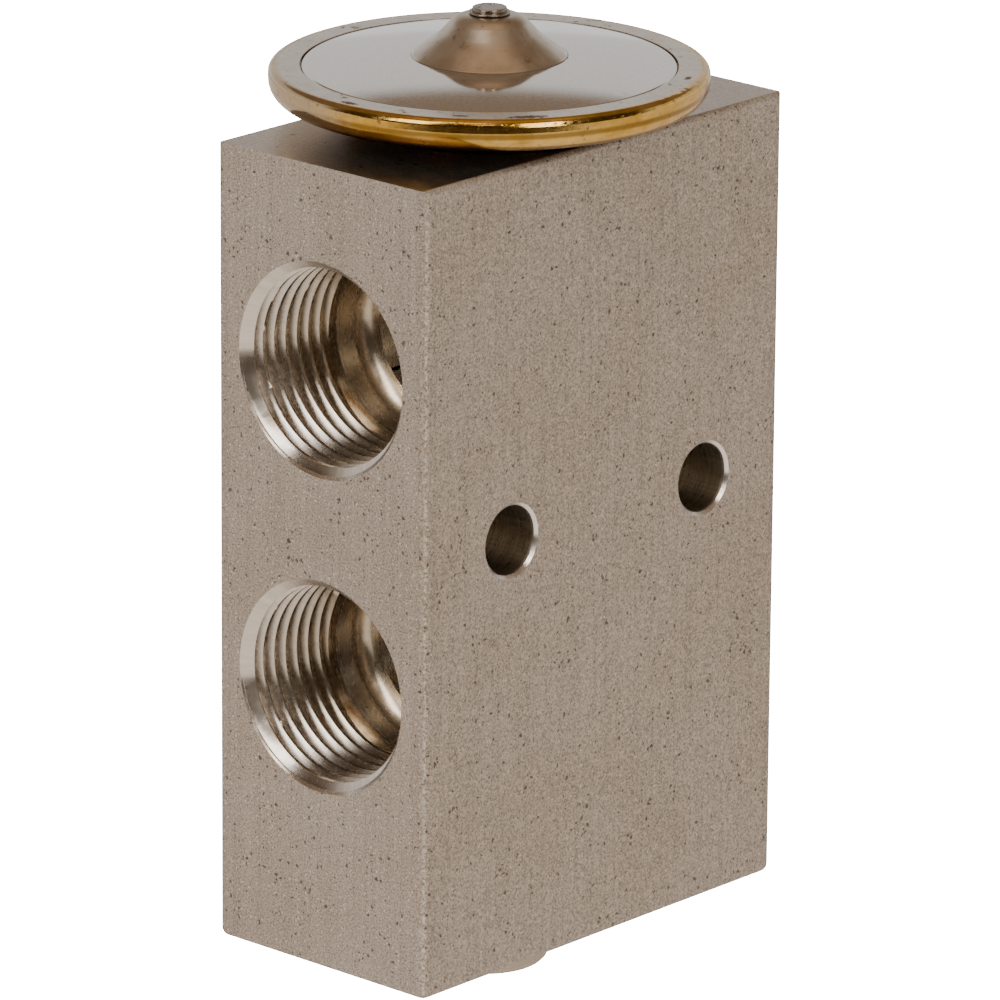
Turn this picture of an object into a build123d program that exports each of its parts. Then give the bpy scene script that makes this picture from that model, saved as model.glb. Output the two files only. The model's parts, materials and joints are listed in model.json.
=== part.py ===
from build123d import *
import os
from collections import namedtuple
from math import hypot, pi, sqrt

# Block-pattern thermostatic expansion valve for a vehicle air conditioner.
# Millimetres, +Z up. The foot of the adjuster plug stands on z = 0 and the block's plan centre is
# at x = y = 0. The suction line passes straight through the block along Y near its top, the liquid
# line enters low in the +Y face and leaves through the lower port in the -Y face.

# ---- Block ----
BLOCK_X = 26.0  # thickness, between the faces that the mounting holes pass through
BLOCK_Y = 48.7  # depth, from port face to port face
BLOCK_Z = 76.5
SIDE_EDGE_R = 0.9
BASE_EDGE_R = 0.8
TOP_EDGE_R = 0.6  # only along the broad faces, the top edges of the port faces are left sharp
VALVE_Y = -1.95  # the rod, the power head and the adjuster share this upright axis

# ---- Ports: heights are above the block's underside ----
SUCTION_Z = 57.4
OUTLET_Z = 27.3
INLET_Z = 13.0
PORT_THREAD_D = 20.0
INLET_THREAD_D = 16.0
PORT_PITCH = 1.5
PORT_THREAD_END = 11.0  # depth at which the thread runs out
PORT_DEPTH = 15.5
INLET_THREAD_END = 9.0
INLET_DEPTH = 12.5
MOUTH_OVERSIZE = 0.15  # on radius, past the thread's crest circle in the block
RELIEF_WIDTH = 0.75
PILOT_STEP = 0.1  # on radius, the bore past the thread is this much under the thread's bore
PORT_FLOOR_R = 1.6
SUCTION_BORE_D = 14.2
OUTLET_BORE_D = 14.2
INLET_BORE_D = 7.0
OUTLET_PAST_AXIS = 4.5  # how far the outlet bore runs past the valve's axis

# ---- Mounting holes, along X ----
MOUNT_HOLE_D = 6.6
MOUNT_HOLE_Z = 41.5
MOUNT_HOLE_NEAR_Y = -12.8
MOUNT_HOLE_SPACING = 26.5
MOUNT_CHAMFER = 0.28

# ---- Fits, on radius or height ----
SLIDE_FIT = 0.05
THREAD_FIT = 0.05
SEAL_FIT = 0.02
REST_GAP = 0.02

# ---- Power head: heights are above the block's top ----
RIM_D = 40.4
RIM_TOP = 5.25
RIM_KNEE_Z = 2.4  # where the cup's underside, if it had no roll, would meet its side
RIM_WALL = 1.05
RIM_SHOULDER_R = 0.65
RIM_ROLL_R = 2.05
LIP_T = 0.9
LIP_WIDTH = 2.9  # from the rim's edge in to the seam
SEAM_GAP = 0.12
CAP_T = 0.85
DIAPHRAGM_T = 0.15
LEDGE_WIDTH = 2.9
CUP_T = 1.2
CUP_INNER_R = 0.5
CUP_FLARE_R = 1.5
CUP_SLOPE_WIDTH = 6.6  # sloped underside, from the rim's edge in
CUP_FLARE_WIDTH = 1.4
CUP_FLARE_Z = 1.0
NECK_THREAD_D = 18.0
NECK_LENGTH = 6.2
NECK_HOLE_DEPTH = 7.0
NECK_SPIGOT_D = 14.0
NECK_BORE_D = 11.0
NECK_LEAD = 0.75
HEAD_SEAL_SECTION = 1.56
HEAD_GLAND_CLEARANCE = 0.4

# Cap: a low dome with a flared cone drawn out of its middle
DOME_RISE = 0.95
DOME_EDGE_DROP = 0.05
DOME_EDGE_R = 0.25
CONE_BASE_D = 14.3
CONE_WAIST_D = 9.4
CONE_WAIST_RISE = 1.9
CONE_TOP_D = 6.2
CONE_HEIGHT = 3.97  # from its base to the seat of the charge plug
CONE_CROWN = 0.25  # rise of the cone's top from its shoulder to that seat
CONE_TOP_R = 2.0
CONE_WAIST_R = 4.0
CONE_BASE_R = 0.3
CONE_SKIRT = 0.9
PLUG_STEM_D = 2.3
PLUG_STEM_LENGTH = 1.3
PLUG_COLLAR_D = 3.8
PLUG_COLLAR_H = 0.2
PLUG_HEAD_D = 3.2
PLUG_HEAD_H = 0.35
PLUG_EDGE_R = 0.09

# Diaphragm ripples and stop plate
RIPPLE_MID_D = 27.0
RIPPLE_WIDTH = 2.4
RIPPLE_HEIGHT = 0.35
STOP_PLATE_D = 21.0
STOP_RIM_ROUND = 0.4
STOP_BOSS_D = 6.0
STOP_BOSS_DEPTH = 2.0
STOP_WEB_T = 0.75
OPENING_TRAVEL = 0.8  # full stroke of rod and ball, down from the closed seat

# ---- Rod, sleeve and rod seal ----
ROD_D = 3.2
ROD_TIP_D = 2.4
ROD_TIP_LENGTH = 4.0
SLEEVE_D = 6.8
SLEEVE_FLOOR_GAP = 0.7  # left under the sleeve when the valve is fully open
SLEEVE_TOP_GAP = 0.6
SLEEVE_CHAMFER = 0.6
SLEEVE_HOLE_CLEARANCE = 0.8
ROD_SEAL_SECTION = 1.8
GLAND_DEPTH = 4.3
WASHER_T = 0.5
WASHER_ROD_CLEARANCE = 0.1
RETAINER_T = 0.3
RETAINER_ROD_CLEARANCE = 0.2
RETAINER_TEETH = 6
RETAINER_NOTCH = 0.9

# ---- Seat, ball, carrier and spring chamber: heights are above the block's underside ----
SEAT_RING_Z = 16.6
SEAT_RING_D = 8.4
SEAT_RING_H = 2.6
SEAT_CHAMFER = 0.4
ORIFICE_D = 3.6
ORIFICE_OUTLET_D = 6.0
BALL_D = 5.6
CHAMBER_D = 10.1
CARRIER_CUP_D = 6.4
CARRIER_CUP_BELOW_BALL = 1.1
CARRIER_FLANGE_D = 8.3
CARRIER_FLANGE_T = 1.2
CARRIER_FLANGE_BELOW_BALL = 3.0
CARRIER_PEG_D = 4.6
CARRIER_PEG_LENGTH = 2.0
CARRIER_PEG_ROUND = 0.55
CARRIER_FLANGE_ROUND = 0.2
DAMPER_T = 0.2
DAMPER_RISE = 1.1
DAMPER_FINGERS = 8
DAMPER_SLOT = 1.1
SPRING_WIRE = 0.9
SPRING_MEAN_D = 7.2
SPRING_TURNS = 4.0
SPRING_END_GROUND = 0.22  # how much of the wire is ground off each end

# ---- Adjuster ----
ADJUSTER_PROJECTION = 4.6
ADJUSTER_D = 12.0
ADJUSTER_SHANK_IN = 2.9  # shank inside the block
ADJUSTER_THREAD_D = 11.0
ADJUSTER_THREAD_LENGTH = 5.5
ADJUSTER_PITCH = 1.0
ADJUSTER_TURNS_IN = 2.0
ADJUSTER_FOOT_CHAMFER = 0.35
ADJUSTER_WALL = 1.15
SPRING_POCKET_DEPTH = 4.2
HEX_SOCKET_AF = 5.0
HEX_SOCKET_DEPTH = 3.2
ADJUSTER_GROOVE_DEPTH = 1.1
ADJUSTER_GROOVE_WIDTH = 1.4
ADJUSTER_GROOVE_Z = 1.0
STOP_CLEARANCE = 0.3

# ---- Derived ----
BASE_Z = ADJUSTER_PROJECTION
TOP_Z = BASE_Z + BLOCK_Z
THREAD_BORE_FACTOR = 0.54127  # 60 degree thread: bore radius is the nominal less this many pitches
CUT_OVERRUN = 1.0
RIM_R = RIM_D / 2
SEAM_R = RIM_R - LIP_WIDTH
FLARE_R = RIM_R - CUP_SLOPE_WIDTH
CUP_SEAT_R = FLARE_R - CUP_FLARE_WIDTH
CLAMP_R = RIM_R - RIM_WALL
LIP_Z = RIM_TOP - LIP_T
LEDGE_Z = LIP_Z - CAP_T - DIAPHRAGM_T
SUCTION_FLOOR_Z = BASE_Z + SUCTION_Z - SUCTION_BORE_D / 2
GLAND_Z = SUCTION_FLOOR_Z - GLAND_DEPTH
GLAND_R = ROD_D / 2 + ROD_SEAL_SECTION + 2 * SEAL_FIT
STOP_TOP_Z = TOP_Z + LEDGE_Z - REST_GAP
ROD_TOP_Z = STOP_TOP_Z - STOP_WEB_T
STOP_PLATE_T = LEDGE_Z - REST_GAP - CUP_T - OPENING_TRAVEL - STOP_CLEARANCE
POCKET_FLOOR_Z = BASE_Z + ADJUSTER_SHANK_IN + ADJUSTER_THREAD_LENGTH - SPRING_POCKET_DEPTH
NECK_HOLE_R = NECK_THREAD_D / 2 + THREAD_FIT
HEAD_GLAND_R = NECK_THREAD_D / 2 + HEAD_SEAL_SECTION + HEAD_GLAND_CLEARANCE
HEAD_GLAND_DEPTH = HEAD_SEAL_SECTION + 2 * SEAL_FIT

Port = namedtuple("Port", "side height thread_d thread_end depth")
SUCTION_FRONT = Port(-1, SUCTION_Z, PORT_THREAD_D, PORT_THREAD_END, PORT_DEPTH)
SUCTION_BACK = Port(+1, SUCTION_Z, PORT_THREAD_D, PORT_THREAD_END, PORT_DEPTH)
OUTLET_FRONT = Port(-1, OUTLET_Z, PORT_THREAD_D, PORT_THREAD_END, PORT_DEPTH)
INLET_BACK = Port(+1, INLET_Z, INLET_THREAD_D, INLET_THREAD_END, INLET_DEPTH)


def section(points, rounds=None):
    """Closed section in (radius, height); rounds maps a corner's index to its radius."""
    face = Plane.XZ * make_face(Polyline(*points, close=True))
    for index, radius in (rounds or {}).items():
        radial, height = points[index]
        corner = face.vertices().sort_by_distance(Vector(radial, 0, height))[0]
        face = fillet(corner, radius)
    return face


def turned(face):
    """Solid of revolution of a section about the valve's upright axis."""
    return Pos(0, VALVE_Y, 0) * revolve(face, Axis.Z)


def upright_cylinder(radius, bottom, top):
    return Pos(0, VALVE_Y, bottom) * extrude(Circle(radius), top - bottom)


def ring_seal(inner_radius, cord, middle_z):
    """Round-section sealing ring on the valve's axis."""
    return Pos(0, VALVE_Y, middle_z) * Torus(inner_radius + cord / 2, cord / 2)


def thread_bore_r(nominal_d, pitch):
    return nominal_d / 2 - THREAD_BORE_FACTOR * pitch


def port_cutter(port):
    """Countersunk mouth, thread bore, run-out groove, pilot bore and rounded floor of one port."""
    bore = thread_bore_r(port.thread_d, PORT_PITCH)
    mouth = port.thread_d / 2 + MOUTH_OVERSIZE
    groove_start = port.thread_end
    groove_end = groove_start + RELIEF_WIDTH
    points = [
        (0, -CUT_OVERRUN),
        (mouth, -CUT_OVERRUN),
        (mouth, 0),
        (bore, mouth - bore),
        (bore, groove_start),
        (port.thread_d / 2, groove_start),
        (port.thread_d / 2, groove_end),
        (bore - PILOT_STEP, groove_end),
        (bore - PILOT_STEP, port.depth),
        (0, port.depth),
    ]
    cutter = revolve(section(points, {8: PORT_FLOOR_R}), Axis.Z)
    mouth_plane = Plane(
        origin=(0, port.side * BLOCK_Y / 2, BASE_Z + port.height),
        x_dir=(1, 0, 0),
        z_dir=(0, -port.side, 0),
    )
    return mouth_plane.location * cutter


def cross_bore(diameter, height, start_y, end_y):
    """Plain bore along Y between two places."""
    middle = Pos(0, (start_y + end_y) / 2, BASE_Z + height)
    return middle * Rot(90, 0, 0) * Cylinder(diameter / 2, abs(end_y - start_y))


def mount_hole_cutters():
    cutters = []
    for y in (MOUNT_HOLE_NEAR_Y, MOUNT_HOLE_NEAR_Y + MOUNT_HOLE_SPACING):
        hole_r = MOUNT_HOLE_D / 2
        half = BLOCK_X / 2
        points = [
            (0, -half - CUT_OVERRUN),
            (hole_r + MOUNT_CHAMFER, -half - CUT_OVERRUN),
            (hole_r + MOUNT_CHAMFER, -half),
            (hole_r, -half + MOUNT_CHAMFER),
            (hole_r, half - MOUNT_CHAMFER),
            (hole_r + MOUNT_CHAMFER, half),
            (hole_r + MOUNT_CHAMFER, half + CUT_OVERRUN),
            (0, half + CUT_OVERRUN),
        ]
        hole = revolve(section(points), Axis.Z)
        cutters.append(Pos(0, y, BASE_Z + MOUNT_HOLE_Z) * Rot(0, 90, 0) * hole)
    return cutters


def centre_bore_cutters():
    """The stepped upright bore: power head, sleeve and rod from the top, valve and adjuster below."""
    suction_z = BASE_Z + SUCTION_Z
    outlet_z = BASE_Z + OUTLET_Z
    neck_floor = TOP_Z - NECK_HOLE_DEPTH
    seat_top = BASE_Z + SEAT_RING_Z + SEAT_RING_H
    shank_hole_top = BASE_Z + ADJUSTER_SHANK_IN + ADJUSTER_TURNS_IN * ADJUSTER_PITCH + STOP_CLEARANCE
    thread_hole_top = shank_hole_top + ADJUSTER_THREAD_LENGTH
    shank_r = ADJUSTER_D / 2 + SLIDE_FIT
    thread_r = ADJUSTER_THREAD_D / 2 + THREAD_FIT
    return [
        upright_cylinder(HEAD_GLAND_R, TOP_Z - HEAD_GLAND_DEPTH, TOP_Z + CUT_OVERRUN),
        upright_cylinder(NECK_HOLE_R, neck_floor, TOP_Z + CUT_OVERRUN),
        upright_cylinder(SLEEVE_D / 2 + SLEEVE_HOLE_CLEARANCE, suction_z, neck_floor),
        upright_cylinder(GLAND_R, GLAND_Z, suction_z),
        upright_cylinder(ROD_D / 2 + SLIDE_FIT, outlet_z, GLAND_Z),
        upright_cylinder(ORIFICE_OUTLET_D / 2, seat_top, outlet_z),
        upright_cylinder(SEAT_RING_D / 2, BASE_Z + SEAT_RING_Z, seat_top),
        upright_cylinder(CHAMBER_D / 2, thread_hole_top, BASE_Z + SEAT_RING_Z),
        upright_cylinder(thread_r, shank_hole_top, thread_hole_top),
        upright_cylinder(shank_r, BASE_Z - CUT_OVERRUN, shank_hole_top),
    ]


def make_valve_body():
    block = Pos(0, 0, BASE_Z + BLOCK_Z / 2) * Box(BLOCK_X, BLOCK_Y, BLOCK_Z)
    top_edges = block.faces().sort_by(Axis.Z)[-1].edges()
    block = fillet(top_edges.filter_by(Axis.Y), TOP_EDGE_R)
    block = fillet(block.edges().filter_by(Axis.Z), SIDE_EDGE_R)
    block = fillet(block.faces().sort_by(Axis.Z)[0].edges(), BASE_EDGE_R)
    face_y = BLOCK_Y / 2
    cutters = [port_cutter(p) for p in (SUCTION_FRONT, SUCTION_BACK, OUTLET_FRONT, INLET_BACK)]
    cutters.append(cross_bore(SUCTION_BORE_D, SUCTION_Z, PORT_DEPTH - face_y, face_y - PORT_DEPTH))
    cutters.append(
        cross_bore(OUTLET_BORE_D, OUTLET_Z, PORT_DEPTH - face_y, VALVE_Y + OUTLET_PAST_AXIS)
    )
    cutters.append(cross_bore(INLET_BORE_D, INLET_Z, VALVE_Y, face_y - INLET_DEPTH))
    cutters.extend(mount_hole_cutters())
    cutters.extend(centre_bore_cutters())
    for cutter in cutters:
        block -= cutter
    return block


def make_head_housing():
    """Cup whose rim is rolled over the cap's flange."""
    neck_r = NECK_SPIGOT_D / 2
    slope = (RIM_KNEE_Z - CUP_FLARE_Z) / (RIM_R - FLARE_R)
    ledge_r = CLAMP_R - LEDGE_WIDTH
    inner_knee_z = CUP_FLARE_Z + slope * (ledge_r - FLARE_R) + CUP_T
    points = [
        (neck_r, 0),
        (CUP_SEAT_R, 0),
        (FLARE_R, CUP_FLARE_Z),
        (RIM_R, RIM_KNEE_Z),
        (RIM_R, RIM_TOP),
        (SEAM_R, RIM_TOP),
        (SEAM_R, LIP_Z),
        (CLAMP_R, LIP_Z),
        (CLAMP_R, LEDGE_Z),
        (ledge_r, LEDGE_Z),
        (ledge_r, inner_knee_z),
        (CUP_SEAT_R, CUP_T),
        (neck_r, CUP_T),
    ]
    face = section(points, {3: RIM_ROLL_R, 4: RIM_SHOULDER_R, 2: CUP_FLARE_R, 10: CUP_INNER_R})
    return Pos(0, 0, TOP_Z) * turned(face)


def make_head_neck():
    """Threaded collar brazed into the cup, with a spigot through the cup's floor."""
    thread_r = NECK_THREAD_D / 2
    points = [
        (NECK_BORE_D / 2, CUP_T),
        (NECK_SPIGOT_D / 2, CUP_T),
        (NECK_SPIGOT_D / 2, 0),
        (thread_r, 0),
        (thread_r, -NECK_LENGTH + NECK_LEAD),
        (thread_r - NECK_LEAD, -NECK_LENGTH),
        (NECK_BORE_D / 2, -NECK_LENGTH),
    ]
    return Pos(0, 0, TOP_Z) * turned(section(points))


def make_head_seal_ring():
    middle = TOP_Z - HEAD_GLAND_DEPTH / 2
    return ring_seal(NECK_THREAD_D / 2 + SEAL_FIT, HEAD_SEAL_SECTION, middle)


def offset_corner(before, corner, after, distance):
    """Corner of a line set back by distance to the left of before-corner-after."""
    first = Vector(*corner) - Vector(*before)
    second = Vector(*after) - Vector(*corner)
    left_1 = Vector(-first.Y, first.X).normalized()
    left_2 = Vector(-second.Y, second.X).normalized()
    bisector = (left_1 + left_2).normalized()
    shift = bisector * (distance / bisector.dot(left_1))
    return (corner[0] + shift.X, corner[1] + shift.Y)


def dome_z(radius):
    """Height of the cap's dome above the block's top, a sphere from the seam to the cone."""
    edge_r = SEAM_R - SEAM_GAP
    sphere_r = (edge_r**2 - (CONE_BASE_D / 2) ** 2) / (2 * DOME_RISE)
    return RIM_TOP - DOME_EDGE_DROP + (edge_r**2 - radius**2) / (2 * sphere_r)


def make_head_cap():
    """Drawn cap: flange, step, low dome and flared cone with a hole for the charge plug."""
    edge_r = SEAM_R - SEAM_GAP
    flange_r = CLAMP_R - SLIDE_FIT
    flange_top = LIP_Z - REST_GAP / 2
    flange_bottom = LIP_Z - CAP_T + REST_GAP / 2
    base = (CONE_BASE_D / 2, dome_z(CONE_BASE_D / 2))
    waist = (CONE_WAIST_D / 2, base[1] + CONE_WAIST_RISE)
    hole = (PLUG_STEM_D / 2 + SEAL_FIT, base[1] + CONE_HEIGHT)
    top = (CONE_TOP_D / 2, hole[1] - CONE_CROWN)
    skirt_r = base[0] + CONE_SKIRT
    skirt = (skirt_r, dome_z(skirt_r))
    middle_r = (skirt_r + edge_r) / 2
    edge = (edge_r, dome_z(edge_r))
    inner_edge_r = edge_r - CAP_T

    outer_rounds = [CONE_TOP_R, CONE_WAIST_R, CONE_BASE_R]
    inner_rounds = [CONE_BASE_R + CAP_T, CONE_WAIST_R - CAP_T, CONE_TOP_R - CAP_T]
    outer_cone = FilletPolyline(hole, top, waist, base, skirt, radius=outer_rounds)
    outer_dome = ThreePointArc(skirt, (middle_r, dome_z(middle_r)), edge)
    outer_step = Polyline(edge, (edge_r, flange_top), (flange_r, flange_top), (flange_r, flange_bottom),
                          (inner_edge_r, flange_bottom), (inner_edge_r, dome_z(inner_edge_r) - CAP_T))
    inner_dome = ThreePointArc((inner_edge_r, dome_z(inner_edge_r) - CAP_T),
                               (middle_r, dome_z(middle_r) - CAP_T), (skirt_r, dome_z(skirt_r) - CAP_T))
    inner_base = offset_corner(skirt, base, waist, CAP_T)
    inner_waist = offset_corner(base, waist, top, CAP_T)
    inner_top = offset_corner(waist, top, hole, CAP_T)
    inner_cone = FilletPolyline((skirt_r, dome_z(skirt_r) - CAP_T), inner_base, inner_waist, inner_top,
                                (hole[0], hole[1] - CAP_T), radius=inner_rounds)
    hole_wall = Line((hole[0], hole[1] - CAP_T), hole)
    outline = outer_cone + outer_dome + outer_step + inner_dome + inner_cone + hole_wall
    face = Plane.XZ * make_face(outline)
    corner = face.vertices().sort_by_distance(Vector(edge[0], 0, edge[1]))[0]
    return Pos(0, 0, TOP_Z) * turned(fillet(corner, DOME_EDGE_R))


def make_charge_plug():
    """Pin with a collar, welded into the hole at the top of the cone."""
    seat_z = dome_z(CONE_BASE_D / 2) + CONE_HEIGHT
    collar_top = seat_z + PLUG_COLLAR_H
    head_top = collar_top + PLUG_HEAD_H
    points = [
        (0, seat_z - PLUG_STEM_LENGTH),
        (PLUG_STEM_D / 2, seat_z - PLUG_STEM_LENGTH),
        (PLUG_STEM_D / 2, seat_z),
        (PLUG_COLLAR_D / 2, seat_z),
        (PLUG_COLLAR_D / 2, collar_top),
        (PLUG_HEAD_D / 2, collar_top),
        (PLUG_HEAD_D / 2, head_top),
        (0, head_top),
    ]
    return Pos(0, 0, TOP_Z) * turned(section(points, {4: PLUG_EDGE_R, 6: PLUG_EDGE_R}))


def make_diaphragm():
    """Thin disc with one ripple outside the stop plate, clamped at its edge."""
    clamp_r = CLAMP_R - SLIDE_FIT
    inner = RIPPLE_MID_D / 2 - RIPPLE_WIDTH / 2
    outer = RIPPLE_MID_D / 2 + RIPPLE_WIDTH / 2
    low = LEDGE_Z + REST_GAP / 4
    thick = DIAPHRAGM_T - REST_GAP / 2
    under = [(0, low), (inner, low), (RIPPLE_MID_D / 2, low + RIPPLE_HEIGHT), (outer, low), (clamp_r, low)]
    over = [(radius, height + thick) for radius, height in reversed(under)]
    return Pos(0, 0, TOP_Z) * turned(section(under + over))


def make_stop_plate():
    """Pad under the diaphragm, with a boss that sockets the rod."""
    boss_bottom = STOP_TOP_Z - STOP_PLATE_T - STOP_BOSS_DEPTH
    socket_r = ROD_D / 2 + REST_GAP
    points = [
        (0, ROD_TOP_Z),
        (socket_r, ROD_TOP_Z),
        (socket_r, boss_bottom),
        (STOP_BOSS_D / 2, boss_bottom),
        (STOP_BOSS_D / 2, STOP_TOP_Z - STOP_PLATE_T),
        (STOP_PLATE_D / 2, STOP_TOP_Z - STOP_PLATE_T),
        (STOP_PLATE_D / 2, STOP_TOP_Z),
        (0, STOP_TOP_Z),
    ]
    return turned(section(points, {5: STOP_RIM_ROUND, 6: STOP_RIM_ROUND}))


def ball_centre_z():
    """Rest height of the ball, REST_GAP clear of the seat's chamfer or its edge."""
    reach = BALL_D / 2 + REST_GAP
    edge_z = BASE_Z + SEAT_RING_Z + SEAT_CHAMFER
    on_chamfer = edge_z + ORIFICE_D / 2 - sqrt(2) * reach
    on_edge = edge_z - sqrt(reach**2 - (ORIFICE_D / 2) ** 2)
    return min(on_chamfer, on_edge)


def make_push_rod():
    ball_top = ball_centre_z() + BALL_D / 2
    tip_r = ROD_TIP_D / 2
    shoulder_z = ball_top + ROD_TIP_LENGTH
    taper = (ROD_D - ROD_TIP_D) / 2
    points = [
        (0, ball_top),
        (tip_r, ball_top),
        (tip_r, shoulder_z),
        (ROD_D / 2, shoulder_z + taper),
        (ROD_D / 2, ROD_TOP_Z),
        (0, ROD_TOP_Z),
    ]
    rod = turned(section(points))
    ball_room = Pos(0, VALVE_Y, ball_centre_z()) * Sphere(BALL_D / 2 + REST_GAP / 2)
    return rod - ball_room


def make_sensing_sleeve():
    """Sleeve on the rod across the suction passage, which carries the line's warmth to the head."""
    bottom = SUCTION_FLOOR_Z + SLEEVE_FLOOR_GAP + OPENING_TRAVEL
    top = STOP_TOP_Z - STOP_PLATE_T - STOP_BOSS_DEPTH - SLEEVE_TOP_GAP
    bore_r = ROD_D / 2 + REST_GAP
    points = [
        (bore_r, bottom),
        (SLEEVE_D / 2 - SLEEVE_CHAMFER, bottom),
        (SLEEVE_D / 2, bottom + SLEEVE_CHAMFER),
        (SLEEVE_D / 2, top - SLEEVE_CHAMFER),
        (SLEEVE_D / 2 - SLEEVE_CHAMFER, top),
        (bore_r, top),
    ]
    return turned(section(points))


def make_rod_seal_ring():
    return ring_seal(ROD_D / 2 + SEAL_FIT, ROD_SEAL_SECTION, GLAND_Z + ROD_SEAL_SECTION / 2 + REST_GAP)


def washer_bottom_z():
    return GLAND_Z + ROD_SEAL_SECTION + 2 * REST_GAP


def make_rod_seal_washer():
    bottom = washer_bottom_z()
    outer = upright_cylinder(GLAND_R - SEAL_FIT, bottom, bottom + WASHER_T)
    return outer - upright_cylinder(ROD_D / 2 + WASHER_ROD_CLEARANCE, bottom, bottom + WASHER_T)


def make_rod_seal_retainer():
    """Push-in retainer: a thin ring whose outer teeth bite the gland's wall."""
    bottom = washer_bottom_z() + WASHER_T + REST_GAP
    top = bottom + RETAINER_T
    ring = upright_cylinder(GLAND_R - REST_GAP / 2, bottom, top)
    ring -= upright_cylinder(ROD_D / 2 + RETAINER_ROD_CLEARANCE, bottom, top)
    notch = Box(2 * RETAINER_NOTCH, RETAINER_NOTCH, RETAINER_T)
    places = PolarLocations(GLAND_R, RETAINER_TEETH)
    notches = [Pos(0, VALVE_Y, (bottom + top) / 2) * place * notch for place in places]
    return ring - notches


def make_seat_ring():
    bottom = BASE_Z + SEAT_RING_Z
    top = bottom + SEAT_RING_H
    points = [
        (ORIFICE_D / 2 + SEAT_CHAMFER, bottom),
        (SEAT_RING_D / 2, bottom),
        (SEAT_RING_D / 2, top),
        (ORIFICE_D / 2, top),
        (ORIFICE_D / 2, bottom + SEAT_CHAMFER),
    ]
    return turned(section(points))


def make_valve_ball():
    return Pos(0, VALVE_Y, ball_centre_z()) * Sphere(BALL_D / 2)


def carrier_flange_top_z():
    return ball_centre_z() - CARRIER_FLANGE_BELOW_BALL


def make_ball_carrier():
    """Cup under the ball, a flange for the spring and a peg that centres it."""
    flange_top = carrier_flange_top_z()
    flange_bottom = flange_top - CARRIER_FLANGE_T
    cup_top = ball_centre_z() - CARRIER_CUP_BELOW_BALL
    peg_bottom = flange_bottom - CARRIER_PEG_LENGTH
    points = [
        (0, peg_bottom),
        (CARRIER_PEG_D / 2, peg_bottom),
        (CARRIER_PEG_D / 2, flange_bottom),
        (CARRIER_FLANGE_D / 2, flange_bottom),
        (CARRIER_FLANGE_D / 2, flange_top),
        (CARRIER_CUP_D / 2, flange_top),
        (CARRIER_CUP_D / 2, cup_top),
        (0, cup_top),
    ]
    carrier = turned(section(points, {1: CARRIER_PEG_ROUND, 4: CARRIER_FLANGE_ROUND}))
    return carrier - Pos(0, VALVE_Y, ball_centre_z()) * Sphere(BALL_D / 2 + REST_GAP / 2)


def make_damping_ring():
    """Star washer on the carrier's flange, with spring fingers that brush the chamber's wall."""
    bottom = carrier_flange_top_z() + REST_GAP
    inner = CARRIER_CUP_D / 2 + REST_GAP
    bend = CARRIER_FLANGE_D / 2
    reach = CHAMBER_D / 2 - SLIDE_FIT
    lean = hypot(reach - bend, DAMPER_RISE)
    side = DAMPER_T * DAMPER_RISE / lean
    points = [
        (inner, bottom),
        (bend, bottom),
        (reach, bottom + DAMPER_RISE),
        (reach - side, bottom + DAMPER_RISE + DAMPER_T * (reach - bend) / lean),
        (bend - side / 2, bottom + DAMPER_T),
        (inner, bottom + DAMPER_T),
    ]
    ring = turned(section(points))
    slot_length = reach - inner
    slot_height = 2 * (DAMPER_RISE + DAMPER_T)
    slot = Box(slot_length, DAMPER_SLOT, 2 * slot_height)
    places = PolarLocations(bend + slot_length / 2 - DAMPER_T, DAMPER_FINGERS)
    return ring - [Pos(0, VALVE_Y, bottom + slot_height / 2) * place * slot for place in places]


def make_superheat_spring():
    """Coil spring with ground ends between the adjuster's pocket and the carrier's flange."""
    bottom = POCKET_FLOOR_Z + REST_GAP
    top = carrier_flange_top_z() - CARRIER_FLANGE_T - REST_GAP
    inset = SPRING_WIRE / 2 - SPRING_END_GROUND
    rise = top - bottom - 2 * inset
    path = Helix(pitch=rise / SPRING_TURNS, height=rise, radius=SPRING_MEAN_D / 2)
    start = Plane(origin=path @ 0, z_dir=path % 0)
    coil = sweep(start * Circle(SPRING_WIRE / 2), path=path, is_frenet=True)
    coil = Pos(0, VALVE_Y, bottom + inset) * coil
    return coil & upright_cylinder(SPRING_MEAN_D / 2 + SPRING_WIRE, bottom, top)


def make_adjuster_plug():
    """Shank with a seal groove, threaded upper part with the spring's pocket, hex socket below."""
    shank_r = ADJUSTER_D / 2
    thread_r = ADJUSTER_THREAD_D / 2
    shank_top = BASE_Z + ADJUSTER_SHANK_IN
    thread_top = shank_top + ADJUSTER_THREAD_LENGTH
    groove_z = BASE_Z + ADJUSTER_GROOVE_Z
    groove_r = shank_r - ADJUSTER_GROOVE_DEPTH
    pocket_r = thread_r - ADJUSTER_WALL
    points = [
        (0, 0),
        (shank_r - ADJUSTER_FOOT_CHAMFER, 0),
        (shank_r, ADJUSTER_FOOT_CHAMFER),
        (shank_r, groove_z),
        (groove_r, groove_z),
        (groove_r, groove_z + ADJUSTER_GROOVE_WIDTH),
        (shank_r, groove_z + ADJUSTER_GROOVE_WIDTH),
        (shank_r, shank_top),
        (thread_r, shank_top),
        (thread_r, thread_top),
        (pocket_r, thread_top),
        (pocket_r, POCKET_FLOOR_Z),
        (0, POCKET_FLOOR_Z),
    ]
    plug = turned(section(points))
    hexagon = RegularPolygon(HEX_SOCKET_AF / 2, 6, major_radius=False)
    return plug - Pos(0, VALVE_Y, 0) * extrude(hexagon, HEX_SOCKET_DEPTH)


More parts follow.
